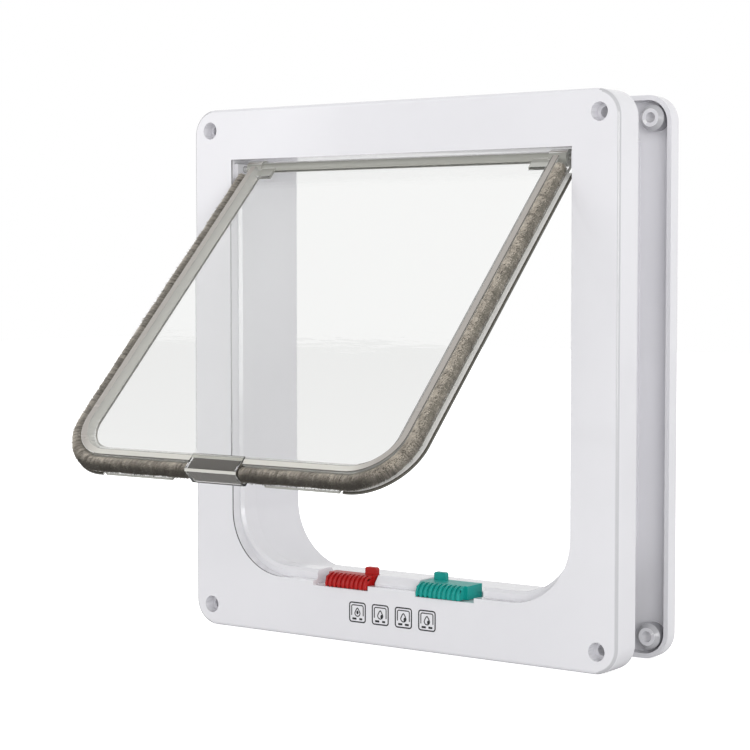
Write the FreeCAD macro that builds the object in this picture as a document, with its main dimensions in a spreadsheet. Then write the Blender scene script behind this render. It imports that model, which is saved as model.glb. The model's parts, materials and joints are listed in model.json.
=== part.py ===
import FreeCAD, Part
import math
import os
import Sketcher

# Cat flap for a door: front frame with its tunnel, telescoping rear frame, see-through swinging flap
# with a pile seal, and two sliders that lock it. Millimetres. X runs across the door, Y into it and
# Z up. The origin is the centre of the four screws, on the face of the front frame that meets the door.

# Driving dimensions
DIMENSIONS = [
    ("frame_width", 235.0, "both frames, across"),
    ("frame_height", 250.0, "both frames, up"),
    ("corner_radius", 12.0, "outer corners of both frames"),
    ("front_depth", 16.0, "front frame, proud of the door"),
    ("shell_wall", 2.5, "walls of the front frame"),
    ("front_edge_round", 2.0, "front outer edge"),
    ("screw_inset", 10.0, "screws from the outer edges"),
    ("screw_hole_bore", 4.7, "screw hole diameter"),
    ("screw_head_bore", 8.1, "sunk screw head diameter"),
    ("screw_head_sink", 5.5, "depth of the sunk head"),
    ("screw_tube_wall", 1.75, "wall round each sunk head"),
    ("side_face", 23.3, "face beside the opening"),
    ("top_face", 24.2, "face over the opening"),
    ("bottom_face", 27.2, "face under the opening"),
    ("opening_radius", 30.0, "lower corners of the opening"),
    ("tunnel_wall", 2.2, "wall of the tunnel"),
    ("tunnel_past_door", 1.0, "tunnel, past the space for the door"),
    ("rib_wall", 1.6, "stiffening ribs"),
    ("rib_height", 4.0, "stiffening ribs, off the face"),
    ("rib_spacing", 60.0, "rib to rib"),
    ("land_ahead", 2.9, "sealing land, ahead of the hinge"),
    ("land_behind", 9.1, "sealing land, behind the hinge"),
    ("land_side_height", 1.9, "land on the side walls"),
    ("land_sill_height", 4.3, "land on the sill"),
    ("land_corner_step", 2.4, "its corners, tighter than the opening's"),
    ("land_top_gap", 9.8, "upper end of the land, below the ceiling"),
    ("land_bevel", 1.4, "bevel along the land"),
    ("channel_lip", 4.0, "front lip ahead of the slider channels"),
    ("channel_sink", 2.2, "channel floor below the sill"),
    ("channel_back_gap", 2.2, "channel behind the deeper slider"),
    ("slot_clearance", 0.2, "slider foot to its slot"),
    ("cover_half_width", 12.0, "magnet cover on the sill"),
    ("cover_gap", 0.4, "magnet cover to the channels"),
    ("cover_height", 4.6, "magnet cover over the sill"),
    ("cover_lap", 0.4, "magnet cover over the front lip"),
    ("cover_back_gap", 0.5, "magnet cover short of the channel's back"),
    ("cover_wall", 1.2, "wall of the magnet cover"),
    ("hinge_inset", 8.4, "hinge axis behind the front face"),
    ("hinge_clearance", 0.6, "flap's knuckles to the ceiling"),
    ("rod_width", 3.0, "hinge rod diameter"),
    ("rod_clearance", 0.1, "hinge rod in its holes"),
    ("rod_seat", 4.7, "end of the rod inside each bush"),
    ("bush_proud", 1.9, "hinge bushes, proud of the side walls"),
    ("bush_length", 8.0, "hinge bush, across"),
    ("bush_depth", 11.6, "hinge bush, front to back"),
    ("bush_height", 7.4, "hinge bush, up"),
    ("bush_drop", 1.0, "middle of the bush below the hinge axis"),
    ("bush_clearance", 0.1, "bush to its window"),
    ("bush_lip", 1.2, "lip of the bush round its window"),
    ("door_gap", 30.0, "space for the door between the frames"),
    ("rear_depth", 9.0, "rear frame"),
    ("rear_plate", 2.8, "plate of the rear frame"),
    ("rear_rim", 2.2, "rim of the rear frame"),
    ("rear_edge_round", 3.0, "back outer edge"),
    ("boss_proud", 1.0, "rear bosses ahead of the rim"),
    ("boss_bevel", 1.8, "bevel round each rear boss"),
    ("collar_clearance", 0.4, "collar to the tunnel"),
    ("collar_wall", 2.0, "wall of the collar"),
    ("collar_reach", 10.0, "collar ahead of the rim"),
    ("flap_open_angle", 45.0, "flap, swung to the front"),
    ("sheet_wall", 2.4, "clear sheet of the flap"),
    ("rail_side_gap", 3.7, "rail to the land, at the sides"),
    ("rail_sill_gap", 4.2, "rail to the land, at the sill"),
    ("rail_corner_step", 1.9, "rail's corners, tighter than the pile's"),
    ("rail_thickness", 7.6, "rail, front to back"),
    ("rail_depth", 9.0, "rail, edge to sheet"),
    ("rail_start", 2.0, "upper end of the rail"),
    ("flange_wall", 1.5, "flanges of the rail"),
    ("flange_depth", 6.1, "flat faces of the rail, from its edge"),
    ("flange_setback", 3.2, "front flange behind the edge of the back one"),
    ("groove_depth", 7.6, "groove for the pile"),
    ("groove_straight", 3.7, "groove, before it narrows"),
    ("groove_root", 2.0, "groove at its root, front to back"),
    ("barrel_width", 6.0, "hinge barrel diameter"),
    ("gusset_reach", 8.0, "gusset under the barrel, across"),
    ("gusset_drop", 9.0, "gusset below the hinge"),
    ("gusset_thickness", 4.4, "gusset, front to back"),
    ("lip_clearance", 2.2, "catch lip over the sliders"),
    ("lip_gap", 3.9, "catch lip to a tab that is drawn back"),
    ("lip_length", 37.5, "catch lip, across"),
    ("pile_side_gap", 1.4, "crest of the pile to the land, at the sides"),
    ("pile_sill_gap", 1.1, "crest of the pile to the land, at the sill"),
    ("pile_groove_gap", 0.25, "pile to each flange"),
    ("pile_backing_gap", 0.8, "pile to the root of its groove"),
    ("pile_nose", 0.4, "rounding of the crest, each step"),
    ("pile_front_gap", 0.5, "front of the pile behind the face of the rail"),
    ("pile_flange_gap", 0.3, "front of the pile to the front flange's edge"),
    ("pile_start", 6.5, "upper end of the pile"),
    ("pile_end_gap", 0.3, "pile to the magnet holder"),
    ("pile_relief_gap", 1.2, "pile to the tabs that it is cut low for"),
    ("holder_half_width", 13.6, "magnet holder, across"),
    ("holder_side_wall", 0.7, "holder beside the rail"),
    ("holder_hold", 2.2, "holder, up the rail"),
    ("holder_seat_depth", 4.5, "rail cut down for the holder"),
    ("holder_bevel", 0.9, "bevels along the holder's lower edges"),
    ("holder_gap", 1.5, "holder over the cover"),
    ("holder_wall", 0.8, "lower wall of the holder"),
    ("holder_end_wall", 1.2, "end walls of the holder"),
    ("magnet_clearance", 0.1, "magnets in their pockets"),
    ("slider_clearance", 0.2, "slider to its channel floor"),
    ("slider_end_gap", 0.6, "slider to the channel's ends"),
    ("slider_front_gap", 0.4, "slider plate to the front lip"),
    ("slider_rise", 4.2, "top of the sliders over the sill"),
    ("slide_travel", 7.0, "slider travel"),
    ("grip_proud", 1.0, "grips, ahead of the front face"),
    ("grip_round", 5.0, "round of the grips"),
    ("grip_inset", 0.8, "grip from the inner end of its plate"),
    ("grip_length", 23.8, "grips, across"),
    ("grip_gap", 0.4, "grip to its notch"),
    ("grip_lap", 0.5, "grip over its plate"),
    ("grip_wall", 1.4, "walls of the grips"),
    ("grip_rib_wall", 1.3, "grip ribs"),
    ("grip_rib_height", 0.5, "grip ribs, proud"),
    ("grip_rib_count", 10.0, "grip ribs"),
    ("plate_past_grip", 1.3, "slider plate past its grip"),
    ("red_tab_gap", 0.3, "red tab ahead of the catch lip"),
    ("green_tab_gap", 1.7, "green tab behind the catch lip"),
    ("tab_inset", 0.4, "tab from the inner end of its grip"),
    ("tab_width", 6.4, "tabs, across"),
    ("tab_thickness", 2.4, "tabs, front to back"),
    ("tab_proud", 3.4, "tabs over the sliders"),
    ("tab_round", 1.0, "upper corners of the tabs"),
    ("foot_inset", 6.2, "slider foot from the inner end of its grip"),
    ("foot_length", 6.0, "slider foot, across"),
    ("foot_width", 3.0, "slider foot, front to back"),
    ("foot_setback", 3.4, "slider foot behind the front of its channel"),
    ("foot_lip", 1.1, "hook of the foot, each side"),
    ("foot_lip_height", 1.5, "hook of the foot, up"),
    ("cut_margin", 1.0, "how far a cut runs past what it cuts"),
]

# Places and sizes that follow from them, each worked out from those above it
FOLLOWING = [
    ("screw_spacing_across", "{frame_width} - {screw_inset} * 2"),
    ("screw_spacing_up", "{frame_height} - {screw_inset} * 2"),
    ("screw_tube_width", "{screw_head_bore} + {screw_tube_wall} * 2"),
    ("opening_half", "{frame_width} / 2 - {side_face}"),
    ("opening_top", "{frame_height} / 2 - {top_face}"),
    ("opening_bottom", "{bottom_face} - {frame_height} / 2"),
    ("tunnel_reach", "{door_gap} + {tunnel_past_door}"),
    ("rod_bore", "{rod_width} + {rod_clearance}"),
    ("hinge_setback", "{hinge_inset} - {front_depth}"),
    ("hinge_height", "{opening_top} - {hinge_clearance} - {rail_thickness} / 2"),
    ("bush_inner", "{opening_half} - {bush_proud}"),
    ("bush_middle", "{hinge_height} - {bush_drop}"),
    ("rod_half_length", "{bush_inner} + {rod_seat}"),
    ("land_front", "{hinge_setback} - {land_ahead}"),
    ("land_back", "{hinge_setback} + {land_behind}"),
    ("land_half", "{opening_half} - {land_side_height}"),
    ("land_sill", "{opening_bottom} + {land_sill_height}"),
    ("land_top", "{opening_top} - {land_top_gap}"),
    ("land_radius", "{opening_radius} - {land_corner_step}"),
    ("sill_drop", "{hinge_height} - {land_sill}"),
    ("rail_half_width", "{land_half} - {rail_side_gap}"),
    ("rail_drop", "{sill_drop} - {rail_sill_gap}"),
    ("pile_half_width", "{land_half} - {pile_side_gap}"),
    ("pile_drop", "{sill_drop} - {pile_sill_gap}"),
    ("pile_radius", "{land_radius} - {pile_side_gap}"),
    ("rail_radius", "{pile_radius} - {rail_corner_step}"),
    ("pile_thickness", "{rail_thickness} - ({flange_wall} + {pile_groove_gap}) * 2"),
    ("pile_depth", "{pile_half_width} - {rail_half_width} + {groove_depth} - {pile_backing_gap}"),
    ("pile_inner", "{holder_half_width} + {pile_end_gap}"),
    ("channel_floor", "{opening_bottom} - {channel_sink}"),
    ("channel_front", "{channel_lip} - {front_depth}"),
    ("channel_inner", "{cover_half_width} + {cover_gap}"),
    ("carriage_inner", "{channel_inner} + {slider_end_gap}"),
    ("grip_inner", "{carriage_inner} + {grip_inset}"),
    ("carriage_outer", "{grip_inner} + {grip_length} + {plate_past_grip}"),
    ("channel_outer", "{carriage_outer} + {slide_travel} + {slider_end_gap}"),
    ("notch_inner", "{grip_inner} - {grip_gap}"),
    ("notch_outer", "{grip_inner} + {grip_length} + {slide_travel} + {grip_gap}"),
    ("grip_front", "-{front_depth} - {grip_proud}"),
    ("grip_back", "{channel_front} + {slider_front_gap}"),
    ("slider_bottom", "{channel_floor} + {slider_clearance}"),
    ("slider_top", "{opening_bottom} + {slider_rise}"),
    ("tab_inner", "{grip_inner} + {tab_inset}"),
    ("tab_top", "{slider_top} + {tab_proud}"),
    ("foot_inner", "{grip_inner} + {foot_inset}"),
    ("foot_centre", "{channel_front} + {foot_setback}"),
    ("lip_back", "{hinge_setback} + {rail_thickness} / 2"),
    ("lip_drop", "{hinge_height} - {slider_top} - {lip_clearance}"),
    ("lip_inner", "{tab_inner} + {tab_width} + {lip_gap}"),
    ("lip_outer", "{lip_inner} + {lip_length}"),
    ("red_tab_back", "{lip_back} - {flange_wall} - {red_tab_gap}"),
    ("green_tab_back", "{lip_back} + {green_tab_gap} + {tab_thickness}"),
    ("channel_back", "{green_tab_back} + {channel_back_gap}"),
    ("cover_front", "{channel_front} - {cover_lap}"),
    ("cover_back", "{channel_back} - {cover_back_gap}"),
    ("cover_top", "{opening_bottom} + {cover_height}"),
    ("pile_relief_outer", "{tab_inner} + {tab_width} + {slide_travel} + {pile_relief_gap}"),
    ("pile_relief_drop", "{hinge_height} - {tab_top} - {pile_relief_gap}"),
    ("front_flange_half", "{rail_half_width} - {flange_setback}"),
    ("holder_thickness", "{rail_thickness} + {holder_side_wall} * 2"),
    ("holder_seat_drop", "{rail_drop} - {holder_seat_depth}"),
    ("holder_top_drop", "{holder_seat_drop} - {holder_hold}"),
    ("holder_bottom_drop", "{hinge_height} - {cover_top} - {holder_gap}"),
]

doc = FreeCAD.newDocument("cat_flap")
sheet = doc.addObject("Spreadsheet::Sheet", "Sizes")
for row, (alias, value, note) in enumerate(DIMENSIONS, start=1):
    sheet.set(f"A{row}", alias)
    sheet.set(f"B{row}", str(value))
    sheet.set(f"C{row}", note)
    sheet.setAlias(f"B{row}", alias)
doc.recompute()

TINY = 1e-6
NEAR = 0.01
OVERLAP = 0.2
SIDES = (("left", -1), ("right", 1))
SUBPARTS = []


def sized(formula):
    """Write a formula of names, such as "{frame_width} / 2", as an expression of the sheet's cells."""
    names = {alias: f"Sizes.{alias}" for alias, value, note in DIMENSIONS}
    for name, rule in FOLLOWING:
        names[name] = f"({rule.format(**names)})"
    return formula.format(**names)


def value_of(formula):
    """Work out a formula of names."""
    return float(sheet.evalExpression(sized(formula)))


def keep(piece, label):
    """Name a finished sub-part, which is exported under its label."""
    piece.Label = label
    SUBPARTS.append(piece)
    return piece


# Sketches

def new_sketch(body, name, plane, at="0"):
    """Add a sketch to a body on one of its planes, moved to the place at along the third axis."""
    sketch = body.newObject("Sketcher::SketchObject", name)
    origin_plane = [item for item in body.Origin.OriginFeatures if item.Role == plane][0]
    sketch.AttachmentSupport = [(origin_plane, "")]
    sketch.MapMode = "FlatFace"
    direction = "-" if plane == "XZ_Plane" else ""
    sketch.setExpression("AttachmentOffset.Base.z", f"{direction}({sized(at)})")
    return sketch


def fix_coordinate(sketch, geometry, point, kind, formula):
    """Hold one coordinate of a sketch point at a formula, measured from the sketch's origin."""
    value = value_of(formula)
    if abs(value) < TINY:
        axis = -2 if kind == "DistanceX" else -1
        sketch.addConstraint(Sketcher.Constraint("PointOnObject", geometry, point, axis))
        return
    index = sketch.addConstraint(Sketcher.Constraint(kind, -1, 1, geometry, point, value))
    sketch.setExpression(f"Constraints[{index}]", sized(formula))


def draw_polygon(sketch, corners):
    """Draw a closed outline of straight lines through corners, each a pair of formulas."""
    points = [FreeCAD.Vector(value_of(across), value_of(up), 0) for across, up in corners]
    first = sketch.GeometryCount
    count = len(points)
    for index in range(count):
        sketch.addGeometry(Part.LineSegment(points[index], points[(index + 1) % count]), False)
    for index, (across, up) in enumerate(corners):
        line = first + index
        following = first + (index + 1) % count
        sketch.addConstraint(Sketcher.Constraint("Coincident", line, 2, following, 1))
        fix_coordinate(sketch, line, 1, "DistanceX", across)
        fix_coordinate(sketch, line, 1, "DistanceY", up)


def draw_rectangle(sketch, left, right, bottom, top):
    """Draw a rectangle between four formulas."""
    draw_polygon(sketch, [(left, bottom), (right, bottom), (right, top), (left, top)])


def draw_circle(sketch, across, up, diameter):
    """Draw a circle about a point, all three given as formulas."""
    centre = FreeCAD.Vector(value_of(across), value_of(up), 0)
    circle = Part.Circle(centre, FreeCAD.Vector(0, 0, 1), value_of(diameter) / 2)
    geometry = sketch.addGeometry(circle, False)
    fix_coordinate(sketch, geometry, 3, "DistanceX", across)
    fix_coordinate(sketch, geometry, 3, "DistanceY", up)
    index = sketch.addConstraint(Sketcher.Constraint("Diameter", geometry, value_of(diameter)))
    sketch.setExpression(f"Constraints[{index}]", sized(diameter))


def draw_rounded(sketch, half_width, bottom, top, lower_radius, upper_radius=None):
    """Draw a rectangle about the middle with rounded lower corners, and rounded upper ones if given."""
    half, low, high = value_of(half_width), value_of(bottom), value_of(top)
    lower = value_of(lower_radius)
    upper = value_of(upper_radius) if upper_radius else 0.0
    corners = [(-half, low, lower, math.pi), (half, low, lower, 1.5 * math.pi)]
    corners += [(half, high, upper, 0.0), (-half, high, upper, 0.5 * math.pi)]
    centres, starts, ends = [], [], []
    for index, (across, up, radius, angle) in enumerate(corners):
        inward = FreeCAD.Vector(-math.copysign(radius, across), radius if index < 2 else -radius, 0)
        centre = FreeCAD.Vector(across, up, 0) + inward
        centres.append(centre)
        starts.append(centre + FreeCAD.Vector(radius * math.cos(angle), radius * math.sin(angle), 0))
        closing = angle + 0.5 * math.pi
        ends.append(centre + FreeCAD.Vector(radius * math.cos(closing), radius * math.sin(closing), 0))
    lines = []
    for index in range(4):
        run = Part.LineSegment(ends[index], starts[(index + 1) % 4])
        lines.append(sketch.addGeometry(run, False))
    for line, kind in zip(lines, ("Horizontal", "Vertical") * 2):
        sketch.addConstraint(Sketcher.Constraint(kind, line))
    fix_coordinate(sketch, lines[0], 1, "DistanceY", bottom)
    fix_coordinate(sketch, lines[1], 1, "DistanceX", half_width)
    fix_coordinate(sketch, lines[2], 1, "DistanceY", top)
    fix_coordinate(sketch, lines[3], 1, "DistanceX", f"-({half_width})")
    for index, (across, up, radius, angle) in enumerate(corners):
        before, after = lines[index - 1], lines[index]
        if not radius:
            sketch.addConstraint(Sketcher.Constraint("Coincident", before, 2, after, 1))
            continue
        circle = Part.Circle(centres[index], FreeCAD.Vector(0, 0, 1), radius)
        arc = sketch.addGeometry(Part.ArcOfCircle(circle, angle, angle + 0.5 * math.pi), False)
        sketch.addConstraint(Sketcher.Constraint("Tangent", arc, 1, before, 2))
        sketch.addConstraint(Sketcher.Constraint("Tangent", arc, 2, after, 1))
        number = sketch.addConstraint(Sketcher.Constraint("Radius", arc, radius))
        formula = lower_radius if index < 2 else upper_radius
        sketch.setExpression(f"Constraints[{number}]", sized(formula))


def draw_path(sketch, stops, radius):
    """Draw an open path through stops, pairs of formulas, with every inner corner an arc of radius."""
    points = [FreeCAD.Vector(value_of(across), value_of(up), 0) for across, up in stops]
    bend = value_of(radius)
    runs = [[points[index], points[index + 1]] for index in range(len(points) - 1)]
    centres = []
    for index in range(1, len(points) - 1):
        backward = (points[index - 1] - points[index]).normalize()
        forward = (points[index + 1] - points[index]).normalize()
        runs[index - 1][1] = points[index] + backward * bend
        runs[index][0] = points[index] + forward * bend
        centres.append(points[index] + backward * bend + forward * bend)
    lines = [sketch.addGeometry(Part.LineSegment(start, end), False) for start, end in runs]
    for index, line in enumerate(lines):
        upright = abs(points[index].x - points[index + 1].x) < TINY
        sketch.addConstraint(Sketcher.Constraint("Vertical" if upright else "Horizontal", line))
    fix_coordinate(sketch, lines[0], 1, "DistanceY", stops[0][1])
    for index, line in enumerate(lines):
        upright = abs(points[index].x - points[index + 1].x) < TINY
        kind, formula = ("DistanceX", stops[index][0]) if upright else ("DistanceY", stops[index][1])
        fix_coordinate(sketch, line, 1, kind, formula)
    last_upright = abs(points[-1].x - points[-2].x) < TINY
    kind, formula = ("DistanceY", stops[-1][1]) if last_upright else ("DistanceX", stops[-1][0])
    fix_coordinate(sketch, lines[-1], 2, kind, formula)
    for index, centre in enumerate(centres):
        start, end = runs[index][1], runs[index + 1][0]
        middle = centre + ((start + end) * 0.5 - centre).normalize() * bend
        arc = sketch.addGeometry(Part.Arc(start, middle, end), False)
        arc_start = sketch.getPoint(arc, 1)
        first, second = (1, 2) if arc_start.distanceToPoint(start) < TINY else (2, 1)
        sketch.addConstraint(Sketcher.Constraint("Tangent", arc, first, lines[index], 2))
        sketch.addConstraint(Sketcher.Constraint("Tangent", arc, second, lines[index + 1], 1))
        number = sketch.addConstraint(Sketcher.Constraint("Radius", arc, bend))
        sketch.setExpression(f"Constraints[{number}]", sized(radius))


# Features

def new_body(name):
    """Start a body."""
    return doc.addObject("PartDesign::Body", name)


def pad(body, sketch, length):
    """Raise a sketch along its plane's normal, which is -Y, +X or +Z."""
    feature = body.newObject("PartDesign::Pad", f"{sketch.Name}_pad")
    feature.Profile = sketch
    feature.setExpression("Length", sized(length))
    sketch.Visibility = False
    return feature


def pocket(body, sketch, length, forward=False):
    """Cut a sketch into a body, against its plane's normal, or along it where forward is set."""
    doc.recompute()
    before = body.Tip.Shape.Volume
    feature = body.newObject("PartDesign::Pocket", f"{sketch.Name}_pocket")
    feature.Profile = sketch
    feature.Reversed = forward
    feature.setExpression("Length", sized(length))
    doc.recompute()
    if feature.Shape.Volume > before - TINY:
        raise ValueError(f"{feature.Name} cuts nothing")
    return feature


def pipe(body, profile, spine):
    """Sweep a section along a path."""
    feature = body.newObject("PartDesign::AdditivePipe", f"{profile.Name}_pipe")
    feature.Profile = profile
    feature.Spine = spine
    feature.Transition = "Transformed"
    return feature


def dress_edges(body, kind, formula, wanted, name):
    """Fillet or chamfer the edges of the body's last feature that wanted picks."""
    doc.recompute()
    base = body.Tip
    edges = [f"Edge{index}" for index, edge in enumerate(base.Shape.Edges, start=1) if wanted(edge)]
    if not edges:
        raise ValueError(f"{name} finds no edge")
    feature = body.newObject(f"PartDesign::{kind}", name)
    feature.Base = (base, edges)
    feature.setExpression("Radius" if kind == "Fillet" else "Size", sized(formula))
    doc.recompute()
    return feature


def lies_at(edge, axis, place):
    """Tell whether a whole edge lies at one place along an axis, 0 to 2 for X to Z."""
    box = edge.BoundBox
    lowest = (box.XMin, box.YMin, box.ZMin)[axis]
    highest = (box.XMax, box.YMax, box.ZMax)[axis]
    return abs(lowest - place) < NEAR and abs(highest - place) < NEAR


# Front frame: an open shell with its tunnel, sealing land, screw tubes, ribs and slider channels

SCREW_PLACES = [(f"{sign_x}{{screw_spacing_across}} / 2", f"{sign_z}{{screw_spacing_up}} / 2")
                for sign_x in ("-", "") for sign_z in ("-", "")]
OPENING = ("{opening_half}", "{opening_bottom}", "{opening_top}", "{opening_radius}")


def draw_frame_outline(sketch, inset="0"):
    """Draw the outline that both frames share, moved in by inset."""
    draw_rounded(sketch, f"{{frame_width}} / 2 - {inset}", f"-{{frame_height}} / 2 + {inset}",
                 f"{{frame_height}} / 2 - {inset}", f"{{corner_radius}} - {inset}",
                 f"{{corner_radius}} - {inset}")


def draw_opening(sketch, outset="0"):
    """Draw the outline of the opening, moved out by outset."""
    half, bottom, top, radius = OPENING
    draw_rounded(sketch, f"{half} + {outset}", f"{bottom} - ({outset})", f"{top} + {outset}",
                 f"{radius} + {outset}")


def draw_screws(sketch, diameter):
    """Draw a circle about each screw."""
    for across, up in SCREW_PLACES:
        draw_circle(sketch, across, up, diameter)


def is_outer_edge(edge, place):
    """Tell whether an edge runs along the outer outline of a frame at one depth."""
    box = edge.BoundBox
    half_width = value_of("{frame_width} / 2")
    half_height = value_of("{frame_height} / 2")
    radius = value_of("{corner_radius}")
    outside = max(abs(box.XMin), abs(box.XMax)) > half_width - radius / 2
    outside = outside or max(abs(box.ZMin), abs(box.ZMax)) > half_height - radius / 2
    middle = edge.CenterOfMass
    on_outline = max(abs(middle.x) - half_width, abs(middle.z) - half_height) > -radius / 2
    is_screw = box.XLength < radius and edge.Curve.TypeId == "Part::GeomCircle" and edge.isClosed()
    return lies_at(edge, 1, place) and outside and on_outline and not is_screw


def build_front_frame():
    """Build the front frame."""
    body = new_body("front_frame")
    face = new_sketch(body, "front_face", "XZ_Plane", "-({front_depth} - {shell_wall})")
    draw_frame_outline(face)
    draw_opening(face)
    pad(body, face, "{shell_wall}")
    skirt = new_sketch(body, "front_skirt", "XZ_Plane")
    draw_frame_outline(skirt)
    draw_frame_outline(skirt, "{shell_wall}")
    pad(body, skirt, "{front_depth}")
    doc.recompute()
    dress_edges(body, "Fillet", "{front_edge_round}",
                lambda edge: is_outer_edge(edge, -value_of("{front_depth}")), "front_edge")
    tunnel = new_sketch(body, "tunnel", "XZ_Plane", "{tunnel_reach}")
    draw_opening(tunnel)
    draw_opening(tunnel, "{tunnel_wall}")
    pad(body, tunnel, "{tunnel_reach} + {front_depth}")
    tubes = new_sketch(body, "screw_tubes", "XZ_Plane")
    draw_screws(tubes, "{screw_tube_width}")
    pad(body, tubes, "{front_depth} - {shell_wall} / 2")
    build_ribs(body)
    build_land(body)
    build_slider_bed(body)
    build_bush_windows(body)
    heads = new_sketch(body, "screw_heads", "XZ_Plane", "-{front_depth}")
    draw_screws(heads, "{screw_head_bore}")
    pocket(body, heads, "{screw_head_sink}")
    holes = new_sketch(body, "screw_holes", "XZ_Plane", "-{front_depth}")
    draw_screws(holes, "{screw_hole_bore}")
    pocket(body, holes, "{front_depth}")
    return keep(body, "front_frame")


def build_ribs(body):
    """Stiffen the face with low ribs across the hollow between the rim and the tunnel."""
    ribs = new_sketch(body, "front_ribs", "XZ_Plane", "-({front_depth} - {shell_wall} - {rib_height})")
    rim_x = "({frame_width} / 2 - {shell_wall} / 2)"
    rim_z = "({frame_height} / 2 - {shell_wall} / 2)"
    tunnel_x = "({opening_half} + {tunnel_wall} / 2)"
    for step in (-1, 0, 1):
        low = f"{step} * {{rib_spacing}} - {{rib_wall}} / 2"
        high = f"{step} * {{rib_spacing}} + {{rib_wall}} / 2"
        draw_rectangle(ribs, tunnel_x, rim_x, low, high)
        draw_rectangle(ribs, f"-{rim_x}", f"-{tunnel_x}", low, high)
        draw_rectangle(ribs, low, high, "{opening_top} + {tunnel_wall} / 2", rim_z)
    for step in (-1, 1):
        low = f"{step} * {{rib_spacing}} - {{rib_wall}} / 2"
        high = f"{step} * {{rib_spacing}} + {{rib_wall}} / 2"
        draw_rectangle(ribs, low, high, f"-{rim_z}", "{opening_bottom} - {tunnel_wall} / 2")
    pad(body, ribs, "{rib_height} + {shell_wall} / 2")


def build_land(body):
    """Raise the bevelled land that the pile brushes against, down both sides and along the sill."""
    block = new_sketch(body, "land", "XZ_Plane", "{land_back}")
    wall = "({tunnel_wall} / 2)"
    draw_rounded(block, "{opening_half} + " + wall, "{opening_bottom} - " + wall, "{land_top}",
                 "{opening_radius} + " + wall)
    pad(body, block, "{land_back} - {land_front}")
    way = new_sketch(body, "land_way", "XZ_Plane", "{land_back}")
    draw_rounded(way, "{land_half}", "{land_sill}", "{land_top} + {cut_margin}", "{land_radius}")
    pocket(body, way, "{land_back} - {land_front}", forward=True)
    half, low, top = value_of("{land_half}"), value_of("{land_sill}"), value_of("{land_top}")

    def is_land_edge(edge):
        """Tell whether an edge is one of the land's two inner rims."""
        box = edge.BoundBox
        across = any(lies_at(edge, 1, value_of(place)) for place in ("{land_front}", "{land_back}"))
        inside = box.XMax < half + NEAR and box.XMin > -half - NEAR
        inside = inside and box.ZMin > low - NEAR and box.ZMax < top + NEAR
        return across and inside and edge.Length > value_of("{land_sill_height}") * 2

    dress_edges(body, "Chamfer", "{land_bevel}", is_land_edge, "land_bevel")


def build_slider_bed(body):
    """Thicken the sill into a tray, and cut the sliders' channels, notches and foot slots into it."""
    tray = new_sketch(body, "slider_tray", "XZ_Plane", "{channel_back} + {tunnel_wall}")
    tray_half_width = "({channel_outer} + {tunnel_wall})"
    draw_rectangle(tray, f"-{tray_half_width}", tray_half_width, "{channel_floor} - {tunnel_wall}",
                   "{opening_bottom} - {tunnel_wall} / 2")
    pad(body, tray, "{channel_back} + {tunnel_wall} + {front_depth} - {shell_wall} / 2")
    over_land = "{land_sill} + {cut_margin}"
    seat = new_sketch(body, "cover_seat", "XZ_Plane", "{channel_back}")
    draw_rectangle(seat, "-{channel_inner}", "{channel_inner}", "{opening_bottom}", over_land)
    pocket(body, seat, "{channel_back} - {channel_front}", forward=True)
    for name, side in SIDES:
        ends = ("{channel_inner}", "{channel_outer}") if side > 0 else ("-{channel_outer}",
                                                                        "-{channel_inner}")
        channel = new_sketch(body, f"channel_{name}", "XZ_Plane", "{channel_back}")
        draw_rectangle(channel, *ends, "{channel_floor}", over_land)
        pocket(body, channel, "{channel_back} - {channel_front}", forward=True)
        ends = ("{notch_inner}", "{notch_outer}") if side > 0 else ("-{notch_outer}", "-{notch_inner}")
        notch = new_sketch(body, f"notch_{name}", "XZ_Plane", "{channel_front} + {channel_sink}")
        draw_rectangle(notch, *ends, "{channel_floor}", "{opening_bottom} + {cut_margin}")
        pocket(body, notch, "{front_depth} + {channel_front} + {channel_sink}", forward=True)
        near = "({foot_inner} - {slot_clearance})"
        far = "({foot_inner} + {foot_length} + {slide_travel} + {slot_clearance})"
        ends = (near, far) if side > 0 else (f"-{far}", f"-{near}")
        slot = new_sketch(body, f"slot_{name}", "XY_Plane", "{channel_floor}")
        reach = "({foot_width} / 2 + {slot_clearance})"
        draw_rectangle(slot, *ends, f"{{foot_centre}} - {reach}", f"{{foot_centre}} + {reach}")
        pocket(body, slot, "{tunnel_wall} + {cut_margin}")


def build_bush_windows(body):
    """Cut the windows in the side walls that hold the hinge bushes."""
    outside = "({opening_half} + {tunnel_wall} + {cut_margin})"
    window = new_sketch(body, "bush_windows", "YZ_Plane", f"-{outside}")
    half_depth = "({bush_depth} / 2 + {bush_clearance})"
    half_height = "({bush_height} / 2 + {bush_clearance})"
    draw_rectangle(window, f"{{hinge_setback}} - {half_depth}", f"{{hinge_setback}} + {half_depth}",
                   f"{{bush_middle}} - {half_height}", f"{{bush_middle}} + {half_height}")
    pocket(body, window, f"{outside} * 2", forward=True)


# Pieces that the front frame carries

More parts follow.
